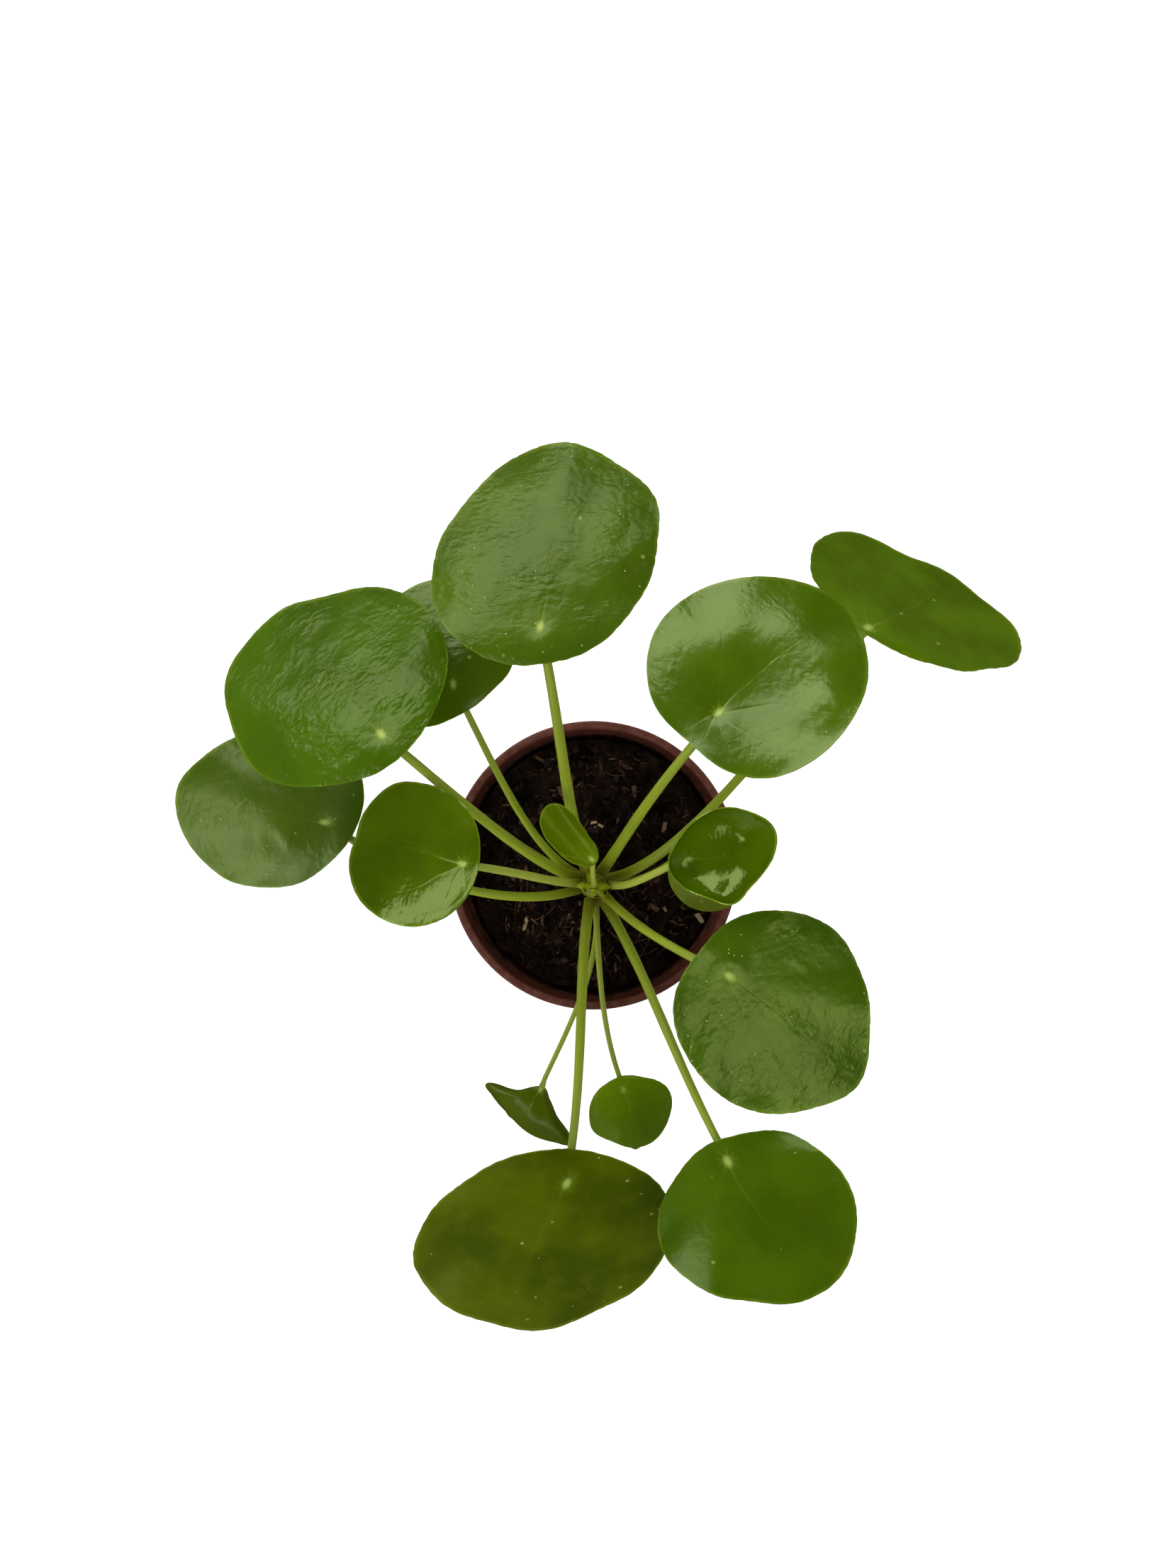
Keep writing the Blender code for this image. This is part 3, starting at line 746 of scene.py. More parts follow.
LEAVES = (
    Leaf(1, (-0.019, 0.088, 0.220), 83, 14.6, -13.9, 0.0348,
         (0.0417, 0.0424, 0.0401, 0.0445, 0.0495, 0.0496, 0.0475, 0.0439, 0.0388, 0.0371, 0.0394, 0.0384),
         Stalk("top", 112, 66, 101, 30, 0.0050, 0.0032), cup=-15,
         swells=((0.028, 0, 0.018, 0.0002), (0.055, 0.018, 0.014, 0.0003), (0.017, 0.022, 0.023, 0.0011),
                 (-0.003, -0.002, 0.005, 0.0011), (0.034, -0.022, 0.018, 0.0005))),
    Leaf(2, (-0.075, 0.051, 0.210), 134, 24.7, 2.4, 0.0323,
         (0.0472, 0.0514, 0.0467, 0.0446, 0.0412, 0.0402, 0.0434, 0.0423, 0.0432, 0.0441, 0.0444, 0.0416),
         Stalk("upper", 157, 60, 138, 42, 0.0046, 0.0031), cup=-18.6, fold=-4,
         swells=((0.009, -0.002, 0.023, 0.0007), (0.050, 0.015, 0.019, -0.0006),
                 (0.023, 0.026, 0.017, -0.0002), (0.004, -0.002, 0.006, -0.0007),
                 (0.033, -0.031, 0.014, -0.001), (0.053, -0.016, 0.018, -0.0004))),
    Leaf(3, (-0.052, 0.070, 0.180), 100, 14.1, -6.1, 0.017,
         (0.0277, 0.0285, 0.0271, 0.0265, 0.0286, 0.0327, 0.0282, 0.0252, 0.0261, 0.0236, 0.0244, 0.0253),
         Stalk("lower", 149, 52, 116, 23, 0.0034, 0.0024), cup=-8, ripple=0.0006,
         swells=((0.009, -0.001, 0.009, 0.0008), (-0.003, -0.002, 0.005, 0.001))),
    Leaf(4, (-0.102, 0.019, 0.160), 171, 10.7, -12.2, 0.0273,
         (0.0382, 0.0362, 0.0337, 0.0308, 0.0314, 0.0334, 0.0390, 0.0438, 0.0403, 0.0326, 0.0300, 0.0321),
         Stalk("lower", 197, 52, 137, 13, 0.0038, 0.0029), cup=-12, fold=7, ripple=0.0007,
         swells=((0.016, 0.009, 0.007, 0.0016), (0.031, 0.030, 0.015, -0.0008),
                 (0.010, -0.016, 0.023, -0.0007), (0.020, 0.003, 0.015, 0.0019))),
    Leaf(5, (-0.047, 0.005, 0.200), 168, 18.5, 10.1, 0.0200,
         (0.0215, 0.0238, 0.0261, 0.0279, 0.0296, 0.0292, 0.0266, 0.0266, 0.0262, 0.0255, 0.0258, 0.0234),
         Stalk("top", 171, 68, 170, 43, 0.0036, 0.0028), cup=26, ripple=0.0003,
         swells=((0.004, 0.004, 0.019, 0.002), (0.024, 0.022, 0.010, -0.0014), (0, -0.003, 0.006, -0.001),
                 (0.008, 0.007, 0.007, -0.0012))),
    Leaf(6, (0.042, 0.058, 0.230), 42, 3.4, -25.3, 0.0241,
         (0.0353, 0.0345, 0.0355, 0.0393, 0.0426, 0.0419, 0.0380, 0.0402, 0.0405, 0.0368, 0.0343, 0.0337),
         Stalk("upper", 59, 60, 50, 34, 0.0045, 0.0030), cup=-8.6, fold=17, ripple=0.0006,
         swells=((0.014, 0, 0.014, -0.0017), (0.026, 0.012, 0.030, 0.0025), (0.007, 0.021, 0.019, 0.0024),
                 (0.001, 0.002, 0.005, -0.0007), (0.030, -0.023, 0.010, 0.0016),
                 (0.041, 0, 0.017, 0.0019))),
    Leaf(7, (0.102, 0.092, 0.175), 28, 46, -28, 0.034,
         (0.0485, 0.0430, 0.0518, 0.0467, 0.0414, 0.0377, 0.0386, 0.0338, 0.0369, 0.0376, 0.0480, 0.0514),
         Stalk("lower", 18, 53, 48, 15, 0.0042, 0.0029), cup=-6, ripple=0.0008),
    Leaf(8, (0.034, 0.006, 0.185), 10, 8.3, 7.8, 0.015,
         (0.0225, 0.0276, 0.0269, 0.0268, 0.0241, 0.0238, 0.0260, 0.0235, 0.0208, 0.0222, 0.0185, 0.0189),
         Stalk("top", 2, 74, 28, 36, 0.0032, 0.0026), cup=76, ripple=0.0004,
         swells=((0.013, -0.007, 0.012, 0.0008), (0.022, 0.006, 0.005, -0.0015),
                 (0.009, 0.005, 0.009, 0.0007), (-0.003, -0.011, 0.010, -0.0025),
                 (0.008, -0.011, 0.006, 0.0022), (0.025, -0.012, 0.006, -0.0007))),
    Leaf(9, (0.037, 0.008, 0.150), -40, 14, 0, 0.011,
         (0.0170,) * 12,
         Stalk("bottom", 2, 52, 40, 44, 0.0026, 0.0020), cup=10, ripple=0.0004),
    Leaf(10, (0.049, -0.036, 0.190), -38, 7.2, -13.2, 0.0244,
         (0.0417, 0.0370, 0.0373, 0.0390, 0.0384, 0.0387, 0.0383, 0.0402, 0.0379, 0.0365, 0.0362, 0.0372),
         Stalk("top", -43, 57, -24, 36, 0.0036, 0.0030), cup=-6,
         swells=((0.021, 0.004, 0.014, 0.0004), (-0.001, 0.004, 0.006, 0.0011))),
    Leaf(11, (0.049, -0.105, 0.182), -62, 14, 8, 0.031,
         (0.0390, 0.0381, 0.0361, 0.0360, 0.0367, 0.0390, 0.0393, 0.0382, 0.0392, 0.0391, 0.0358, 0.0353),
         Stalk("upper", -58, 33, -61, 14, 0.0042, 0.0029), cup=-8),
    Leaf(12, (-0.010, -0.117, 0.165), -115, 24, -19, 0.031,
         (0.0501, 0.0544, 0.0515, 0.0544, 0.0537, 0.0505, 0.0453, 0.0441, 0.0407, 0.0431, 0.0484, 0.0503),
         Stalk("upper", -103, 56, -101, 12, 0.0044, 0.0031), cup=-8),
    Leaf(13, (0.012, -0.090, 0.115), -79, 26, 4, 0.014,
         (0.0182, 0.0186, 0.0179, 0.0195, 0.0201, 0.0193, 0.0197, 0.0177, 0.0166, 0.0169, 0.0187, 0.0162),
         Stalk("lower", -86, 17, -69, -10, 0.0025, 0.0020), cup=-8, fold=-20, ripple=0.0003, point=0.0012),
    Leaf(14, (-0.0211, -0.0905, 0.110), -125, -2.8, -10.9, 0.0186,
         (0.0110, 0.0156, 0.0167, 0.0200, 0.0150, 0.0161, 0.0191, 0.0099, 0.0099, 0.0143, 0.0105, 0.0097),
         Stalk("bottom", -83, 15, -114, -9, 0.0024, 0.0020), cup=-90, fold=86, ripple=0.0003, point=0.0008),
    Leaf(15, (-0.0004, 0.0051, 0.176), 128, -4, -14, 0.0133,
         (0.0137, 0.0132, 0.0114, 0.0100, 0.0098, 0.0120, 0.0146, 0.0108, 0.0074, 0.0072, 0.0096, 0.0116),
         Stalk("tip", 90, 73, 84, 63, 0.0022, 0.0018), cup=6, fold=92, ripple=0.0002),
)


def leaf_axes(leaf):
    """Unit vectors of a blade: along its midrib, to its left, and out of its upper face."""
    heading, droop, bank = (math.radians(angle) for angle in (leaf.heading, leaf.droop, leaf.bank))
    midrib = Vector(
        (math.cos(heading) * math.cos(droop), math.sin(heading) * math.cos(droop), -math.sin(droop))
    )
    level_left = Vector((-math.sin(heading), math.cos(heading), 0.0))
    left = level_left * math.cos(bank) + midrib.cross(level_left) * math.sin(bank)
    return midrib, left, midrib.cross(left)


def direction(compass, elevation):
    """The unit vector that points there, both angles in degrees."""
    compass, elevation = math.radians(compass), math.radians(elevation)
    level = math.cos(elevation)
    return Vector((math.cos(compass) * level, math.sin(compass) * level, math.sin(elevation)))


def by_stem(compass, away, height):
    """A place at a distance from the middle line of the stem."""
    return Vector((STEM_X, STEM_Y, height)) + away * direction(compass, 0)


def stalk_curve(leaf):
    """The four control points of a stalk's arch, from the stem to just under the blade's spot."""
    stalk = leaf.stalk
    if stalk.tier == "tip":
        tilt = math.cos(math.radians(stalk.lift)) * stalk.thick / 2
        start = by_stem(0, 0.0, STEM_TOP_Z + GAP + tilt)
    else:
        slant = math.sin(math.radians(stalk.lift)) * stalk.thick / 2
        stand_off = STEM_RADIUS + STEM_SCAR_RISE + GAP + slant
        start = by_stem(stalk.leaves, stand_off, TIER_HEIGHTS[stalk.tier])
    leaving, arriving = direction(stalk.leaves, stalk.lift), direction(stalk.reaches, stalk.ends)
    up = leaf_axes(leaf)[2]
    below = BLADE_THICKNESS / 2 + 2 * GAP + math.sin(arriving.angle(up)) * stalk.thin / 2
    end = Vector(leaf.spot) - below * up
    span = (end - start).length
    return start, start + HANDLE_SHARE * span * leaving, end - HANDLE_SHARE * span * arriving, end


# Stem
# One short upright stem, woody and brown below and olive-green at its growing tip. Old leaf scars ring it,
# and small dry scales sit in the angles of the leaf stalks, round the bud.
STEM_FOOT_Z = 0.062
STEM_FOOT_RADIUS = 0.0035
STEM_CROWN_RISE = 0.0040
STEM_SCAR_SPACING = 0.0085
STEM_SCAR_DROP = 0.0060
STEM_SIDES = 40
BARK_RELIEF, BARK_SINK = 0.00022, 0.00005
BARK_GRAIN = Vector((900.0, 900.0, 160.0))
CROWN_DEPTH = 0.02
SCALE_WIDTH, SCALE_THICKNESS = 0.62, 0.05
SCALE_CUP, SCALE_CURL = 3.0, 0.22
SCALE_LIFT = 0.0012
DRY_SCALE_LENGTHS = 0.0032, 0.0050
DRY_SCALE_RISES = 62, 84
DRY_SCALE_SPREAD = 24, 34
DRY_SCALE_TONES = 0.3, 0.8
DRY_SCALE_ROOT = 0.93 * STEM_RADIUS
BUD_SCALES = (25, 150, 265)
BUD_SCALE_LENGTH = 0.0045
BUD_SCALE_RISE = 80
BUD_SCALE_TONE = 0.95
BUD_SCALE_ROOT = 0.0024
GREEN_SCALE_LENGTHS = 0.0050, 0.0062
GREEN_SCALE_SWAY = 6
GREEN_SCALE_TONES = 0.66, 1.0
INNER_ROOT, OUTER_ROOT = (0.0012, 0.0002), (0.0028, 0.0008)
GREEN_FOOT, GREEN_FOOT_LIFT = 0.0064, 0.0042
SCALES_SEED = 5


def stem_corners():
    """From the foot up to the crown, with a low ring for each leaf scar."""
    shoulder = STEM_TOP_Z - STEM_CROWN_RISE
    corners = [(0.0004, STEM_TOP_Z, 0), (0.55 * STEM_RADIUS, STEM_TOP_Z - 0.0003, 0.001)]
    corners.append((0.98 * STEM_RADIUS, shoulder + 0.0012, 0.0025))
    height = shoulder
    while height > STEM_FOOT_Z + STEM_SCAR_SPACING:
        scar = height - STEM_SCAR_DROP
        corners.append((STEM_RADIUS - 0.0001, height, 0.001))
        corners.append((STEM_RADIUS + STEM_SCAR_RISE, scar + 0.0005, 0.0004))
        corners.append((STEM_RADIUS + STEM_SCAR_RISE - 0.0001, scar - 0.0004, 0.0004))
        height -= STEM_SCAR_SPACING
    corners += [(STEM_RADIUS - 0.0002, height, 0.001), (STEM_FOOT_RADIUS, STEM_FOOT_Z, 0.001)]
    corners.append((0.0004, STEM_FOOT_Z, 0))
    return corners[::-1]


def roughen_bark(stem):
    """Shallow lengthwise furrows, which die out towards the green crown."""
    for vertex in stem.data.vertices:
        out = Vector((vertex.co.x - STEM_X, vertex.co.y - STEM_Y, 0.0))
        if out.length < 0.001:
            continue
        old = min(1.0, max(0.0, (STEM_TOP_Z - vertex.co.z) / CROWN_DEPTH))
        grain = noise.noise(vertex.co * BARK_GRAIN)
        vertex.co += out.normalized() * (BARK_RELIEF * old * grain - BARK_SINK)


def model_scale():
    """The mesh of a small pointed scale of unit length along X, cupped round its middle line."""
    bpy.ops.object.select_all(action="DESELECT")
    bpy.ops.mesh.primitive_grid_add(x_subdivisions=8, y_subdivisions=6, size=1.0)
    scale = bpy.context.object
    for vertex in scale.data.vertices:
        along = vertex.co.x + 0.5
        leafy = math.sin(math.pi * min(1.0, 0.22 + 0.78 * along)) ** 0.7
        across = vertex.co.y * SCALE_WIDTH * leafy * (1 - 0.25 * along)
        vertex.co = (along, across, SCALE_CUP * across**2 + SCALE_CURL * along**2)
    shell = scale.modifiers.new("shell", "SOLIDIFY")
    shell.thickness = SCALE_THICKNESS
    bpy.ops.object.modifier_apply(modifier="shell")
    return put_away(scale)


def set_scales(dice):
    """Two dry scales beside the foot of each stalk, three over the bud, and a green one to each stalk."""
    unit = model_scale()
    copies = []
    stalks = [leaf.stalk for leaf in LEAVES if leaf.stalk.tier != "tip"]
    for stalk in stalks:
        for side in (-1, 1):
            facing = stalk.leaves + side * dice.uniform(*DRY_SCALE_SPREAD)
            root = by_stem(facing, DRY_SCALE_ROOT, TIER_HEIGHTS[stalk.tier] + SCALE_LIFT)
            rise = direction(facing, dice.uniform(*DRY_SCALE_RISES))
            length, tone = dice.uniform(*DRY_SCALE_LENGTHS), dice.uniform(*DRY_SCALE_TONES)
            copies.append(placed_scale(unit, root, rise, facing, length, tone))
    for facing in BUD_SCALES:
        root = by_stem(facing, BUD_SCALE_ROOT, STEM_TOP_Z - SCALE_LIFT)
        rise = direction(facing + 180, BUD_SCALE_RISE)
        copies.append(placed_scale(unit, root, rise, facing, BUD_SCALE_LENGTH, BUD_SCALE_TONE))
    for stalk in stalks:
        away, drop = INNER_ROOT if stalk.tier == "top" else OUTER_ROOT
        facing = stalk.leaves + dice.uniform(-GREEN_SCALE_SWAY, GREEN_SCALE_SWAY)
        root = by_stem(facing, away, STEM_TOP_Z - drop)
        foot = by_stem(facing, GREEN_FOOT, TIER_HEIGHTS[stalk.tier] + GREEN_FOOT_LIFT)
        length, tone = dice.uniform(*GREEN_SCALE_LENGTHS), dice.uniform(*GREEN_SCALE_TONES)
        copies.append(placed_scale(unit, root, (foot - root).normalized(), facing, length, tone))
    return heap("crown_scales", unit, copies)


def placed_scale(unit, root, rise, facing, length, tone):
    """The places of one scale's points, with its tone. Its hollow side faces the stem."""
    side = direction(facing + 90, 0)
    out = rise.cross(side).normalized()
    if out.dot(direction(facing, 0)) > 0:
        out = -out
    places = []
    for vertex in unit.vertices:
        places.append(root + length * (vertex.co.x * rise + vertex.co.y * side + vertex.co.z * out))
    return places, tone


def bark_finish():
    """Brown bark with pale cork spots, turning olive-green over the top two centimetres."""
    finish, tree, tone = uneven_finish("stem_bark", 260.0, 1500.0, Specular_IOR_Level=0.35)
    place = object_place(tree)
    bark = tint(tree, tone["Broad"], (0.055, 0.034, 0.016, 1), (0.150, 0.105, 0.050, 1))
    green = tint(tree, tone["Broad"], (0.160, 0.180, 0.002, 1), (0.230, 0.300, 0.004, 1))
    green = tint(tree, fade(tree, tone["Fine"], 0.52, 0.66, 0.0, 0.6), green, (0.130, 0.078, 0.006, 1))
    height = put_node(tree, "ShaderNodeSeparateXYZ", {0: place}).outputs[2]
    height = scaled(tree, tone["Broad"], 0.006, height)
    colour = tint(tree, fade(tree, height, STEM_TOP_Z - 0.030, STEM_TOP_Z - 0.006), bark, green)
    cork = put_node(tree, "ShaderNodeTexVoronoi", {"Vector": place, "Scale": 900.0}).outputs["Distance"]
    colour = tint(tree, fade(tree, cork, 0.22, 0.08, 0.0, 0.5), colour, (0.240, 0.190, 0.100, 1))
    rough = scaled(tree, tone["Fine"], 0.2, 0.45)
    return lay_on(finish, colour, rough, tone["Fine"], 0.00015)


def scale_finish():
    """Dry brown scales by their tone, and the green scales of the bud."""
    fixed = {"Specular_IOR_Level": 0.15, "Roughness": 0.5}
    finish, tree, uneven = uneven_finish("crown_scale", 700.0, 2500.0, **fixed)
    colour = tint(tree, uneven["Broad"], (0.150, 0.105, 0.004, 1), (0.240, 0.230, 0.010, 1))
    green = fade(tree, carried(tree, "tone"), 0.65, 0.85)
    colour = tint(tree, green, colour, (0.260, 0.330, 0.002, 1))
    return lay_on(finish, colour, height=uneven["Fine"], depth=0.00008)


stem = turn_on_wheel("plant_stem", rounded(stem_corners(), 3), STEM_SIDES, (STEM_X, STEM_Y))
roughen_bark(stem)
smooth(stem)
dress(stem, [bark_finish()], "stem", "stem")
scales = set_scales(random.Random(SCALES_SEED))
smooth(scales)
dress(scales, [scale_finish()], "stem")

# Leaf stalks
# Fleshy yellow-green stalks, round and smooth. Each swells where it leaves the stem, thins along its arch,
# and spreads into a foot that is grown to the underside of its blade.
STALK_SIDES, STALK_RINGS = 20, 56
ROOT_SHARE, FOOT_SHARE = 0.07, 0.05
ROOT_DEPTH = 0.0016
ROOT_SWELLING, FOOT_SWELLING = 0.16, 0.45
FOOT_DEPTH = 0.62 * BLADE_THICKNESS / 2
STALK_FLATNESS = 0.96
STALK_UNEVENNESS, STALK_WAVES = 0.05, 90
PALE_STALKS = (5, 8, 13, 14, 15)


def settle(value):
    """0 up to 1 without a corner at either end."""
    value = min(1.0, max(0.0, value))
    return value * value * (3 - 2 * value)


def grow_stalk(leaf, unit):
    """Bends the straight tube along the stalk's arch and turns its last rings into the blade's plane."""
    start, first, second, end = stalk_curve(leaf)
    up = leaf_axes(leaf)[2]
    foot = Vector(leaf.spot) - FOOT_DEPTH * up
    leaving = direction(leaf.stalk.leaves, leaf.stalk.lift)
    length = (end - start).length
    places, run = [], []
    for vertex in unit.vertices:
        t = vertex.co.z
        s = 1 - t
        middle = s**3 * start + 3 * s * s * t * first + 3 * s * t * t * second + t**3 * end
        ahead = (s * s * (first - start) + 2 * s * t * (second - first) + t * t * (end - second)).normalized()
        side, over = beside(ahead)
        rooted = settle(1 - t / ROOT_SHARE)
        footed = settle(1 - s / FOOT_SHARE)
        middle = middle - ROOT_DEPTH * rooted * leaving + footed * (foot - end)
        radius = (leaf.stalk.thick + (leaf.stalk.thin - leaf.stalk.thick) * t) / 2
        radius *= 1 + ROOT_SWELLING * rooted + FOOT_SWELLING * footed**2
        wave = noise.noise(Vector((leaf.number * 3.1, t * length * STALK_WAVES, 0.0)))
        radius *= 1 + STALK_UNEVENNESS * wave
        spread = vertex.co.x * side + STALK_FLATNESS * vertex.co.y * over
        in_plane = spread - spread.dot(up) * up
        if in_plane.length > 0:
            in_plane = in_plane.normalized()
        spread = spread.lerp(in_plane, footed)
        places.append(middle + radius * spread)
        run.append((vertex.co.x, vertex.co.y, t * length))
    piece = piece_from(f"leaf_{leaf.number:02d}_stalk", unit, places)
    carry(piece, "stalk_run", run, "FLOAT_VECTOR")
    carry(piece, "stalk_share", [vertex.co.z for vertex in unit.vertices])
    return piece


def stalk_finish(name, deep, fresh):
    """Watery flesh under a thin skin: fine lengthwise streaks, browner at the root and paler at the blade."""
    sheen = {"Sheen_Weight": 0.08, "Sheen_Roughness": 0.4, "Sheen_Tint": (0.8, 0.9, 0.2, 1)}
    finish, tree = new_finish(name, Specular_IOR_Level=0.35, **sheen)
    share = carried(tree, "stalk_share")
    stretched = reckon_vector(tree, "MULTIPLY", carried(tree, "stalk_run", "Vector"), (1.6, 1.6, 22.0))
    tone = use_group(tree, UNEVEN_TONE, Place=stretched, Broad_Scale=1.1, Fine_Scale=4.5)
    colour = tint(tree, tone["Broad"], deep, fresh)
    colour = tint(tree, times(tree, tone["Fine"], 0.16), colour, (0.320, 0.390, 0.060, 1))
    root = fade(tree, share, 0.16, 0.0, 0.0, 0.6)
    colour = tint(tree, root, colour, (0.170, 0.140, 0.003, 1))
    colour = tint(tree, fade(tree, share, 0.55, 1.0, 0.0, 0.35), colour, (0.260, 0.350, 0.050, 1))
    rough = scaled(tree, tone["Fine"], 0.12, 0.34)
    return lay_on(finish, colour, rough, tone["Fine"], 0.00003)


straight_stalk = model_tube(STALK_SIDES, STALK_RINGS)
stalk_skin = stalk_finish("stalk_skin", (0.195, 0.250, 0.002, 1), (0.290, 0.370, 0.010, 1))
pale_stalk_skin = stalk_finish("pale_stalk_skin", (0.280, 0.340, 0.020, 1), (0.370, 0.440, 0.050, 1))
for leaf in LEAVES:
    leaf_stalk = grow_stalk(leaf, straight_stalk)
    smooth(leaf_stalk)
    skin = pale_stalk_skin if leaf.number in PALE_STALKS else stalk_skin
    dress(leaf_stalk, [skin], "petiole", f"leaf_{leaf.number:02d}_petiole")

# Leaf blades
# Thick, slightly succulent blades with a waxy upper skin. Veins run out from the pale spot and sink into the
# upper face, the skin is puckered between them, and a thin pale line runs round the margin.
BLADE_SEGMENTS, BLADE_RINGS = 192, 44
SMALL_BLADE_SEGMENTS, SMALL_BLADE_RINGS = 120, 30
SMALL_BLADES = (9, 13, 14, 15)
VEINS = 9
VEIN_WANDER, VEIN_WANDER_SCALE = 0.45, 45
VEIN_EDGES = 0.0006, 0.0001
VEIN_DEPTH, VEIN_WIDTH = 0.00016, 0.0009
PUCKER_DEPTH = 0.00026
VEINS_START, PUCKERS_START = 0.004, 0.008
MARGIN_THINNING, THINS_FROM = 0.45, 0.8
SCALLOPS = 19
UPPER_RELIEF, UNDER_RELIEF = 0.00052, 0.00014
SPOT_DIMPLE, SPOT_SIZE = 0.0005, 0.0028


@dataclass
class Skin:
    """How one blade looks. The colours are deep in the leaf's flesh and fresh on its better lit side."""

    deep: tuple
    fresh: tuple
    wax: float  # strength of its reflections
    gloss: float  # roughness of the wax
    wrinkles: float  # depth of the puckers, 1 on an old leathery leaf
    veins: float  # how clearly the veins show
    specks: float  # share of places with a white lime speck
    spot: float  # radius of the pale spot
    scallops: float = 0.00010  # depth of the shallow notches of the margin
    blotches: float = 0.1  # how much of it is mottled
    rim: float = 0.4  # how clearly the pale line along the margin shows
    cool: float = 0.5  # how much blue its reflections keep


SKINS = {
    1: Skin((0.050, 0.100, 0.0006), (0.072, 0.134, 0.0020),
            0.36, 0.28, 0.65, 0.14, 0.72, 0.0013, 0.00028, 0.15),
    2: Skin((0.045, 0.100, 0.0002), (0.060, 0.130, 0.0006),
            0.34, 0.27, 1.0, 0.26, 0.04, 0.0014, 0.00022),
    3: Skin((0.062, 0.112, 0.0004), (0.082, 0.146, 0.0010),
            0.48, 0.28, 0.5, 0.10, 0.03, 0.0012, rim=0.6),
    4: Skin((0.050, 0.096, 0.0002), (0.064, 0.118, 0.0006),
            0.56, 0.33, 0.4, 0.10, 0.22, 0.0012, blotches=0.2),
    5: Skin((0.050, 0.092, 0.0001), (0.082, 0.144, 0.0002),
            0.55, 0.17, 0.4, 0.36, 0.01, 0.0011, rim=0.7, cool=0.4),
    6: Skin((0.053, 0.108, 0.0002), (0.072, 0.142, 0.0004),
            0.60, 0.21, 0.3, 0.22, 0.01, 0.0012, rim=0.4),
    7: Skin((0.064, 0.122, 0.0001), (0.092, 0.172, 0.0002),
            0.30, 0.30, 0.4, 0.50, 0.10, 0.0016, 0.0003, 0.3, cool=0.15),
    8: Skin((0.052, 0.096, 0.0001), (0.080, 0.146, 0.0002),
            0.70, 0.15, 0.5, 0.22, 0.05, 0.0010, rim=1.0, cool=0.35),
    # Leaf 9's grey-olive colours are its own, but about twice as bright as a leaf's green: painted light, for
    # the light it lacks in the shade under leaf 8.
    9: Skin((0.135, 0.172, 0.0090), (0.175, 0.220, 0.0150),
            0.30, 0.34, 0.2, 0.20, 0.02, 0.0014),
    10: Skin((0.042, 0.098, 0.0001), (0.064, 0.142, 0.0002),
            0.72, 0.30, 0.6, 0.18, 0.78, 0.0014, 0.0002, 0.25, cool=0.3),
    11: Skin((0.052, 0.108, 0.0001), (0.072, 0.142, 0.0002),
            0.55, 0.22, 0.25, 0.18, 0.06, 0.0015, 0.00018, 0.15, 0.5),
    12: Skin((0.050, 0.076, 0.0001), (0.082, 0.118, 0.0002),
            0.16, 0.30, 0.15, 0.14, 0.12, 0.0015, 0.00024, 0.35, cool=0.1),
    # Leaf 13's colours are about twice as bright as its own green: painted light, for the light it lacks low
    # by the pot under the leaves above.
    13: Skin((0.120, 0.210, 0.0004), (0.170, 0.285, 0.0010),
            0.60, 0.26, 0.2, 0.40, 0.03, 0.0010, cool=0.3),
    14: Skin((0.056, 0.084, 0.0010), (0.078, 0.114, 0.0020),
            0.45, 0.22, 0.2, 0.20, 0.02, 0.0009),
    15: Skin((0.082, 0.128, 0.0001), (0.116, 0.182, 0.0002),
            0.30, 0.30, 0.2, 0.15, 0.00, 0.0009, rim=0.7, cool=0.1),
}


def margin_distance(leaf, angle):
    """Distance from the blade's middle to its margin, on a smooth closed curve through leaf.margin."""
    place = angle / math.tau * len(leaf.margin)
    i = int(place)
    f = place - i
    a, b, c, d = (leaf.margin[(i + k) % len(leaf.margin)] for k in (-1, 0, 1, 2))
    return b + 0.5 * f * (c - a + f * (2 * a - 5 * b + 4 * c - d + f * (3 * (b - c) + d - a)))


def scallop(leaf, angle):
    """The margin's shallow uneven notches."""
    ring = Vector((math.cos(angle), math.sin(angle), 0.0)) * 6 + Vector((leaf.number * 5.0, 0.0, 0.0))
    teeth = abs(math.sin(SCALLOPS * angle + 2.2 * noise.noise(ring)))
    return SKINS[leaf.number].scallops * (teeth - 0.75 + 0.8 * noise.noise(ring * 0.6))


def pucker(leaf, along, across, reach):
    """Relief of the upper face: a dimple over the stalk, sunk veins, and skin that swells between them."""
    skin = SKINS[leaf.number]
    radius = math.hypot(along, across)
    place = Vector((along, across, leaf.number * 0.37))
    wander = VEIN_WANDER * noise.noise(place * VEIN_WANDER_SCALE)
    turns = (math.atan2(across, along) + wander) * VEINS / math.tau
    gap = abs(turns - round(turns)) * math.tau / VEINS * radius
    vein = math.exp(-((gap / VEIN_WIDTH) ** 2)) * min(1.0, radius / VEINS_START)
    relief = -VEIN_DEPTH * skin.veins * vein * (1 - 0.6 * reach)
    crosswise = Vector((along * 150, across * 85, leaf.number))
    swell = noise.noise(crosswise) + 0.7 * noise.noise(place * 130) + 0.6 * noise.noise(place * 60)
    relief += PUCKER_DEPTH * skin.wrinkles * swell * min(1.0, radius / PUCKERS_START)
    relief -= SPOT_DIMPLE * math.exp(-((radius / SPOT_SIZE) ** 2))
    return relief * min(1.0, (1.02 - reach) / 0.08)


def swelling(leaf, along, across):
    """Height of the blade's low swells at a flat place. The spot keeps its height."""
    rise = 0.0
    for swell_along, swell_across, size, height in leaf.swells:
        away = math.hypot(along - swell_along, across - swell_across) / size
        spot_away = math.hypot(swell_along, swell_across) / size
        rise += height * (math.exp(-(away**2)) - math.exp(-(spot_away**2)))
    return rise


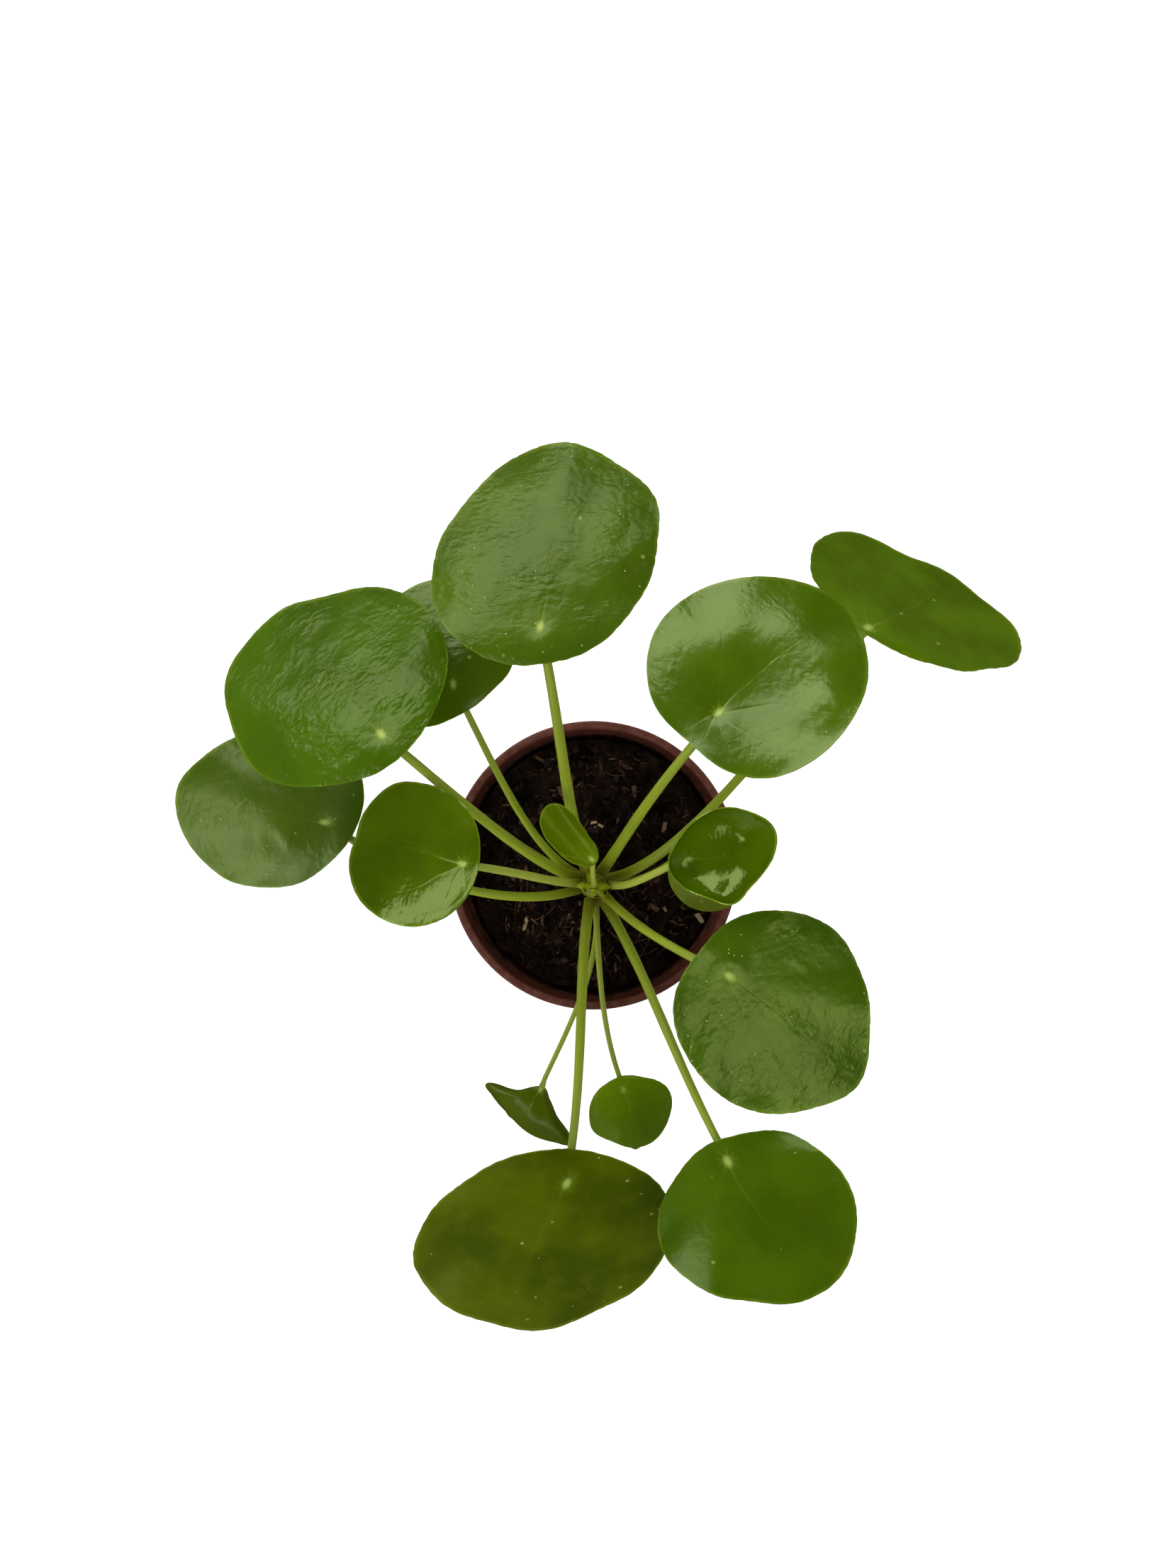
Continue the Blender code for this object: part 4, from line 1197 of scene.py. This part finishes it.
def blade_place(leaf, axes, angle, reach):
    """The blade's surface with its relief, and the same place on the flat blade, measured from the spot."""
    radius = margin_distance(leaf, angle) + scallop(leaf, angle) * reach**6
    radius += leaf.point * max(0.0, 1 - abs(math.remainder(angle, math.tau)) / POINT_HALF_WIDTH)
    along = leaf.middle + radius * math.cos(angle)
    across = radius * math.sin(angle)
    flat = (along * reach, across * reach, 0.0)
    length = math.hypot(along, across)
    cup = math.radians(leaf.cup) / length
    travelled = reach * length
    out = math.sin(cup * travelled) / cup / length
    rise = (1 - math.cos(cup * travelled)) / cup
    along *= out
    across *= out
    wave = math.sin(BROAD_WAVES * angle + BROAD_SHIFT * leaf.number)
    wave += NARROW_SHARE * math.sin(NARROW_WAVES * angle + NARROW_SHIFT * leaf.number)
    rise += leaf.ripple * reach**3 * wave
    rise += swelling(leaf, flat[0], flat[1]) + pucker(leaf, flat[0], flat[1], reach)
    if leaf.fold:
        fold = math.radians(leaf.fold) / max(leaf.margin)
        across, rise = (
            math.sin(fold * across) * (1 / fold - rise),
            (1 - math.cos(fold * across)) / fold + rise * math.cos(fold * across),
        )
    midrib, left, up = axes
    return Vector(leaf.spot) + along * midrib + across * left + rise * up, flat


def unfold_blade(leaf, disc):
    """Lays the flat disc out as this leaf's blade and thickens it, thinner towards the margin."""
    axes = leaf_axes(leaf)
    places, flats, reaches = [], [], []
    for vertex in disc.vertices:
        reach = min(1.0, math.hypot(vertex.co.x, vertex.co.y))
        angle = math.atan2(vertex.co.y, vertex.co.x) % math.tau
        place, flat = blade_place(leaf, axes, angle, reach)
        places.append(place)
        flats.append(flat)
        reaches.append(reach)
    blade = piece_from(f"leaf_{leaf.number:02d}_leaf_blade", disc, places)
    carry(blade, "blade_place", flats, "FLOAT_VECTOR")
    carry(blade, "blade_reach", reaches)
    flesh = blade.vertex_groups.new(name="flesh")
    for i, reach in enumerate(reaches):
        thinned = MARGIN_THINNING * settle((reach - THINS_FROM) / (1 - THINS_FROM))
        flesh.add([i], 1.0 - thinned, "REPLACE")
    skin = blade.modifiers.new("thickness", "SOLIDIFY")
    skin.thickness = BLADE_THICKNESS
    skin.offset = 0.0
    skin.vertex_group = "flesh"
    skin.material_offset = 1
    skin.material_offset_rim = 2
    take(blade)
    bpy.ops.object.modifier_apply(modifier="thickness")
    blade.vertex_groups.clear()
    return blade


SKIN_NUMBERS = ("Gloss", "Wrinkles", "Veins", "Specks", "Spot", "Blotches", "Rim")


def dots(group, place, scale, share, size, core):
    """Round dots in a share of the cells of a random pattern."""
    cells = put_node(group, "ShaderNodeTexVoronoi", {"Vector": place, "Scale": scale}).outputs
    lot = put_node(group, "ShaderNodeSeparateColor", {0: cells["Color"]}).outputs[0]
    chosen = reckon(group, "LESS_THAN", lot, share)
    return times(group, fade(group, cells["Distance"], size, core), chosen)


def leaf_skin_group():
    """A blade's skin: flesh colour, veins, pale spot and rim, lime specks, and wrinkles between the veins."""
    inputs = [("Place", "Vector", None), ("Reach", "Float", None), ("Seed", "Vector", None)]
    inputs += [("Deep", "Color", None), ("Fresh", "Color", None)]
    inputs += [(label, "Float", None) for label in SKIN_NUMBERS]
    outputs = [("Colour", "Color"), ("Roughness", "Float"), ("Height", "Float")]
    group, inside, out = open_group("leaf_skin", inputs, outputs)
    place, reach = inside["Place"], inside["Reach"]
    moved = reckon_vector(group, "ADD", place, inside["Seed"])
    parts = put_node(group, "ShaderNodeSeparateXYZ", {0: place}).outputs
    radius = reckon_vector(group, "LENGTH", place)
    wander, broad, cluster, blotch, swell, fine = (
        haze(group, moved, scale, detail)
        for scale, detail in ((VEIN_WANDER_SCALE, 1), (30, 3), (75, 2), (110, 2), (190, 1), (700, 3))
    )

    # Veins run out from the spot and wander a little, and the midrib fades towards the tip
    sway = reckon(group, "SUBTRACT", wander, 0.5)
    angle = reckon(group, "ARCTAN2", parts[1], parts[0])
    turns = times(group, scaled(group, sway, 2 * VEIN_WANDER, angle), VEINS / math.tau)
    near = reckon(group, "ABSOLUTE", reckon(group, "SUBTRACT", turns, reckon(group, "ROUND", turns)))
    gap = times(group, near, math.tau / VEINS, radius)
    main = times(group, fade(group, gap, *VEIN_EDGES), fade(group, reach, 0.9, 0.2, 0.2, 1.0))
    off_midrib = reckon(group, "ABSOLUTE", scaled(group, sway, 0.006, parts[1]))
    midrib = times(group, fade(group, off_midrib, *VEIN_EDGES), fade(group, parts[0], 0.0, 0.002))
    midrib = times(group, midrib, fade(group, reach, 0.90, 0.15, 0.0, 0.8))
    cells = put_node(
        group, "ShaderNodeTexVoronoi", {"Vector": moved, "Scale": 95.0}, feature="DISTANCE_TO_EDGE"
    )
    branch = fade(group, cells.outputs["Distance"], 0.04, 0.0)

    # Flesh colour, mottled, and paler along the veins and round the margin
    colour = tint(group, fade(group, broad, 0.36, 0.66), inside["Deep"], inside["Fresh"])
    mottled = times(group, fade(group, blotch, 0.50, 0.70), inside["Blotches"], 0.55)
    colour = tint(group, mottled, colour, (0.130, 0.168, 0.003, 1))
    paler = tint(group, 0.55, colour, (0.180, 0.260, 0.014, 1))
    shown = scaled(group, branch, 0.18, scaled(group, main, 0.45, midrib))
    shown = times(group, shown, inside["Veins"])
    colour = tint(group, shown, colour, paler)
    patchy = fade(group, cluster, 0.30, 0.65, 0.3, 1.0)
    rim = times(group, fade(group, reach, 0.965, 0.992), inside["Rim"], patchy)
    colour = tint(group, rim, colour, (0.200, 0.290, 0.014, 1))

    # The spot glows where the stalk feeds the blade, longer along the midrib, with short rays round it
    squeezed = reckon_vector(group, "MULTIPLY", place, (0.6, 1.0, 1.0))
    shifted = reckon_vector(group, "SUBTRACT", squeezed, (0.0005, 0.0, 0.0))
    from_spot = reckon(group, "DIVIDE", reckon_vector(group, "LENGTH", shifted), inside["Spot"])
    colour = tint(group, fade(group, from_spot, 3.2, 0.3, 0.0, 0.30), colour, (0.130, 0.200, 0.008, 1))
    rays = times(group, main, fade(group, from_spot, 3.6, 0.7), inside["Veins"])
    colour = tint(group, rays, colour, (0.260, 0.370, 0.040, 1))
    colour = tint(group, fade(group, from_spot, 1.5, 0.2, 0.0, 0.9), colour, (0.400, 0.500, 0.090, 1))

    # Lime specks in clusters, where drops of hard water dried, and larger dull ones on mottled skin
    limed = times(group, inside["Specks"], fade(group, cluster, 0.42, 0.60))
    specks = dots(group, moved, 340.0, limed, 0.13, 0.06)
    colour = tint(group, times(group, specks, 0.8), colour, (0.620, 0.680, 0.340, 1))
    dull = dots(group, moved, 150.0, times(group, inside["Blotches"], 0.45), 0.16, 0.04)
    colour = tint(group, times(group, dull, 0.6), colour, (0.420, 0.480, 0.120, 1))
    group.links.new(colour, out["Colour"])
    rough = scaled(group, reckon(group, "SUBTRACT", fine, 0.5), 0.12, inside["Gloss"])
    group.links.new(scaled(group, specks, 0.3, rough), out["Roughness"])

    # Wrinkles lie mostly across the leaf, in drifts
    stretched = reckon_vector(group, "MULTIPLY", moved, (260.0, 150.0, 1.0))
    crease = reckon(group, "ABSOLUTE", reckon(group, "SUBTRACT", haze(group, stretched, 1.0, 2.0), 0.5))
    drifts = fade(group, cluster, 0.36, 0.60, 0.3, 1.0)
    crease = times(group, crease, fade(group, radius, 0.003, 0.014, 0.4, 2.2), drifts)
    height = times(group, scaled(group, swell, 0.8, crease), inside["Wrinkles"])
    height = scaled(group, fine, 0.02, height)
    height = scaled(group, shown, -0.5, height)
    group.links.new(scaled(group, specks, 0.3, height), out["Height"])
    return group


def face_skin(name, group, skin, seed, depth, **fixed):
    """The skin on one face of a blade, from the skin group and this face's values."""
    finish, tree = new_finish(name, **fixed)
    sockets = {label: getattr(skin, label.lower()) for label in SKIN_NUMBERS}
    sockets["Place"] = carried(tree, "blade_place", "Vector")
    sockets["Reach"] = carried(tree, "blade_reach")
    sockets["Seed"] = (0.37 * seed, 0.11 * seed, 0.53 * seed)
    sockets["Deep"], sockets["Fresh"] = (*skin.deep, 1), (*skin.fresh, 1)
    out = use_group(tree, group, **sockets)
    return lay_on(finish, out["Colour"], out["Roughness"], out["Height"], depth)


def upper_skin(leaf, group):
    """The waxy upper skin of one blade."""
    skin = SKINS[leaf.number]
    wax = {"Specular_IOR_Level": skin.wax, "Specular_Tint": (0.84, 1, skin.cool, 1)}
    name = f"leaf_{leaf.number:02d}_upper_skin"
    return face_skin(name, group, skin, leaf.number, UPPER_RELIEF, **wax)


def under_skin(group):
    """The pale matt underside, where the veins stand out. Its colours are partly its own paler green and
    partly painted light shining through the blade.
    """
    skin = Skin((0.115, 0.190, 0.035), (0.160, 0.250, 0.055), 0.35, 0.5, 0.4, 0.8, 0.0, 0.002)
    return face_skin("leaf_under_skin", group, skin, 0, UNDER_RELIEF, Specular_IOR_Level=0.35)


def margin_skin():
    """The thin edge of the blade, watery and paler than its face."""
    fixed = {"Specular_IOR_Level": 0.45, "Roughness": 0.35}
    finish, tree, tone = uneven_finish("leaf_margin", 180.0, 900.0, **fixed)
    return lay_on(finish, tint(tree, tone["Broad"], (0.170, 0.260, 0.040, 1), (0.300, 0.380, 0.110, 1)))


flat_blade = model_disc(BLADE_SEGMENTS, BLADE_RINGS)
small_flat_blade = model_disc(SMALL_BLADE_SEGMENTS, SMALL_BLADE_RINGS)
leaf_skin = leaf_skin_group()
underside, pale_margin = under_skin(leaf_skin), margin_skin()
slots = {part["node"]: part["material_slot"] for part in frame["record"]["subparts"]}
for leaf in LEAVES:
    leaf_blade = unfold_blade(leaf, small_flat_blade if leaf.number in SMALL_BLADES else flat_blade)
    smooth(leaf_blade)
    node = f"leaf_{leaf.number:02d}_blade"
    dress(leaf_blade, [upper_skin(leaf, leaf_skin), underside, pale_margin], slots[node], node)

# Studio
# A plain white table in a dim room, under soft lights from four sides, as a product is pictured from
# straight above. The backdrop looks as white as the table, but lights the plant no more than the dim room.
CAMERA_PLACE = (-0.0022, 0.0338, 0.850)
CAMERA_LENS = 41.5
TABLE_SIZE = 12.0
LIT_PLACE = Vector((0, 0, 0.15))
ROOM_BRIGHTNESS = 0.28
BACKDROP_BRIGHTNESS = 1.3


def hang_softbox(name, compass, elevation, distance, width, depth, brightness, in_reflections=True):
    """A flat soft light that faces the plant. A brightness of 1 looks as bright as the white table."""
    light = bpy.data.lights.new(name, "AREA")
    light.shape = "RECTANGLE"
    light.size, light.size_y = width, depth
    light.energy = brightness * math.pi * width * depth
    lamp = bpy.data.objects.new(name, light)
    towards = direction(compass, elevation)
    lamp.location = LIT_PLACE + distance * towards
    lamp.rotation_euler = towards.to_track_quat("Z", "Y").to_euler()
    lamp.visible_glossy = in_reflections
    bpy.context.scene.collection.objects.link(lamp)


bpy.ops.object.select_all(action="DESELECT")
bpy.ops.mesh.primitive_plane_add(size=TABLE_SIZE, location=(0, 0, 0))
table_top = bpy.context.object
table_top.name = "table_top"
shine = {"Roughness": 0.7, "Specular_IOR_Level": 0.2}
glimmer = {"Emission_Color": (1, 1, 1, 1), "Emission_Strength": 0.8}
white = new_finish("white_table", Base_Color=(0.90, 0.90, 0.90, 1), **shine, **glimmer)[0]
table_top.data.materials.append(white)
table_top.visible_glossy = False

# Each light's compass angle, elevation, distance, width, depth and brightness
hang_softbox("window_light", 123, 28, 1.5, 1.38, 0.75, 3.9)
hang_softbox("left_light", 213, 29, 1.5, 1.03, 0.53, 3.9)
hang_softbox("low_left_light", 250, 20, 1.5, 0.70, 0.70, 1.8)
hang_softbox("right_light", 345, 57, 1.5, 0.66, 0.97, 2.2)
hang_softbox("ceiling_fill", 0, 90, 2.2, 2.4, 2.4, 0.40, in_reflections=False)

sky = bpy.data.worlds.new("dim_room")
bpy.context.scene.world = sky
sky.use_nodes = True
backdrop = sky.node_tree.nodes["Background"]
backdrop.inputs["Color"].default_value = (1, 1, 1, 1)
seen = put_node(sky.node_tree, "ShaderNodeLightPath").outputs["Is Camera Ray"]
glow = scaled(sky.node_tree, seen, BACKDROP_BRIGHTNESS - ROOM_BRIGHTNESS, ROOM_BRIGHTNESS)
sky.node_tree.links.new(glow, backdrop.inputs["Strength"])
sky.cycles_visibility.glossy = False

camera = bpy.data.cameras.new("camera_above")
camera.lens = CAMERA_LENS
camera.sensor_width = 36
camera.clip_start = 0.01
viewer = bpy.data.objects.new("camera_above", camera)
viewer.location = CAMERA_PLACE
bpy.context.scene.collection.objects.link(viewer)
bpy.context.scene.camera = viewer
bpy.context.scene.view_settings.view_transform = "Standard"
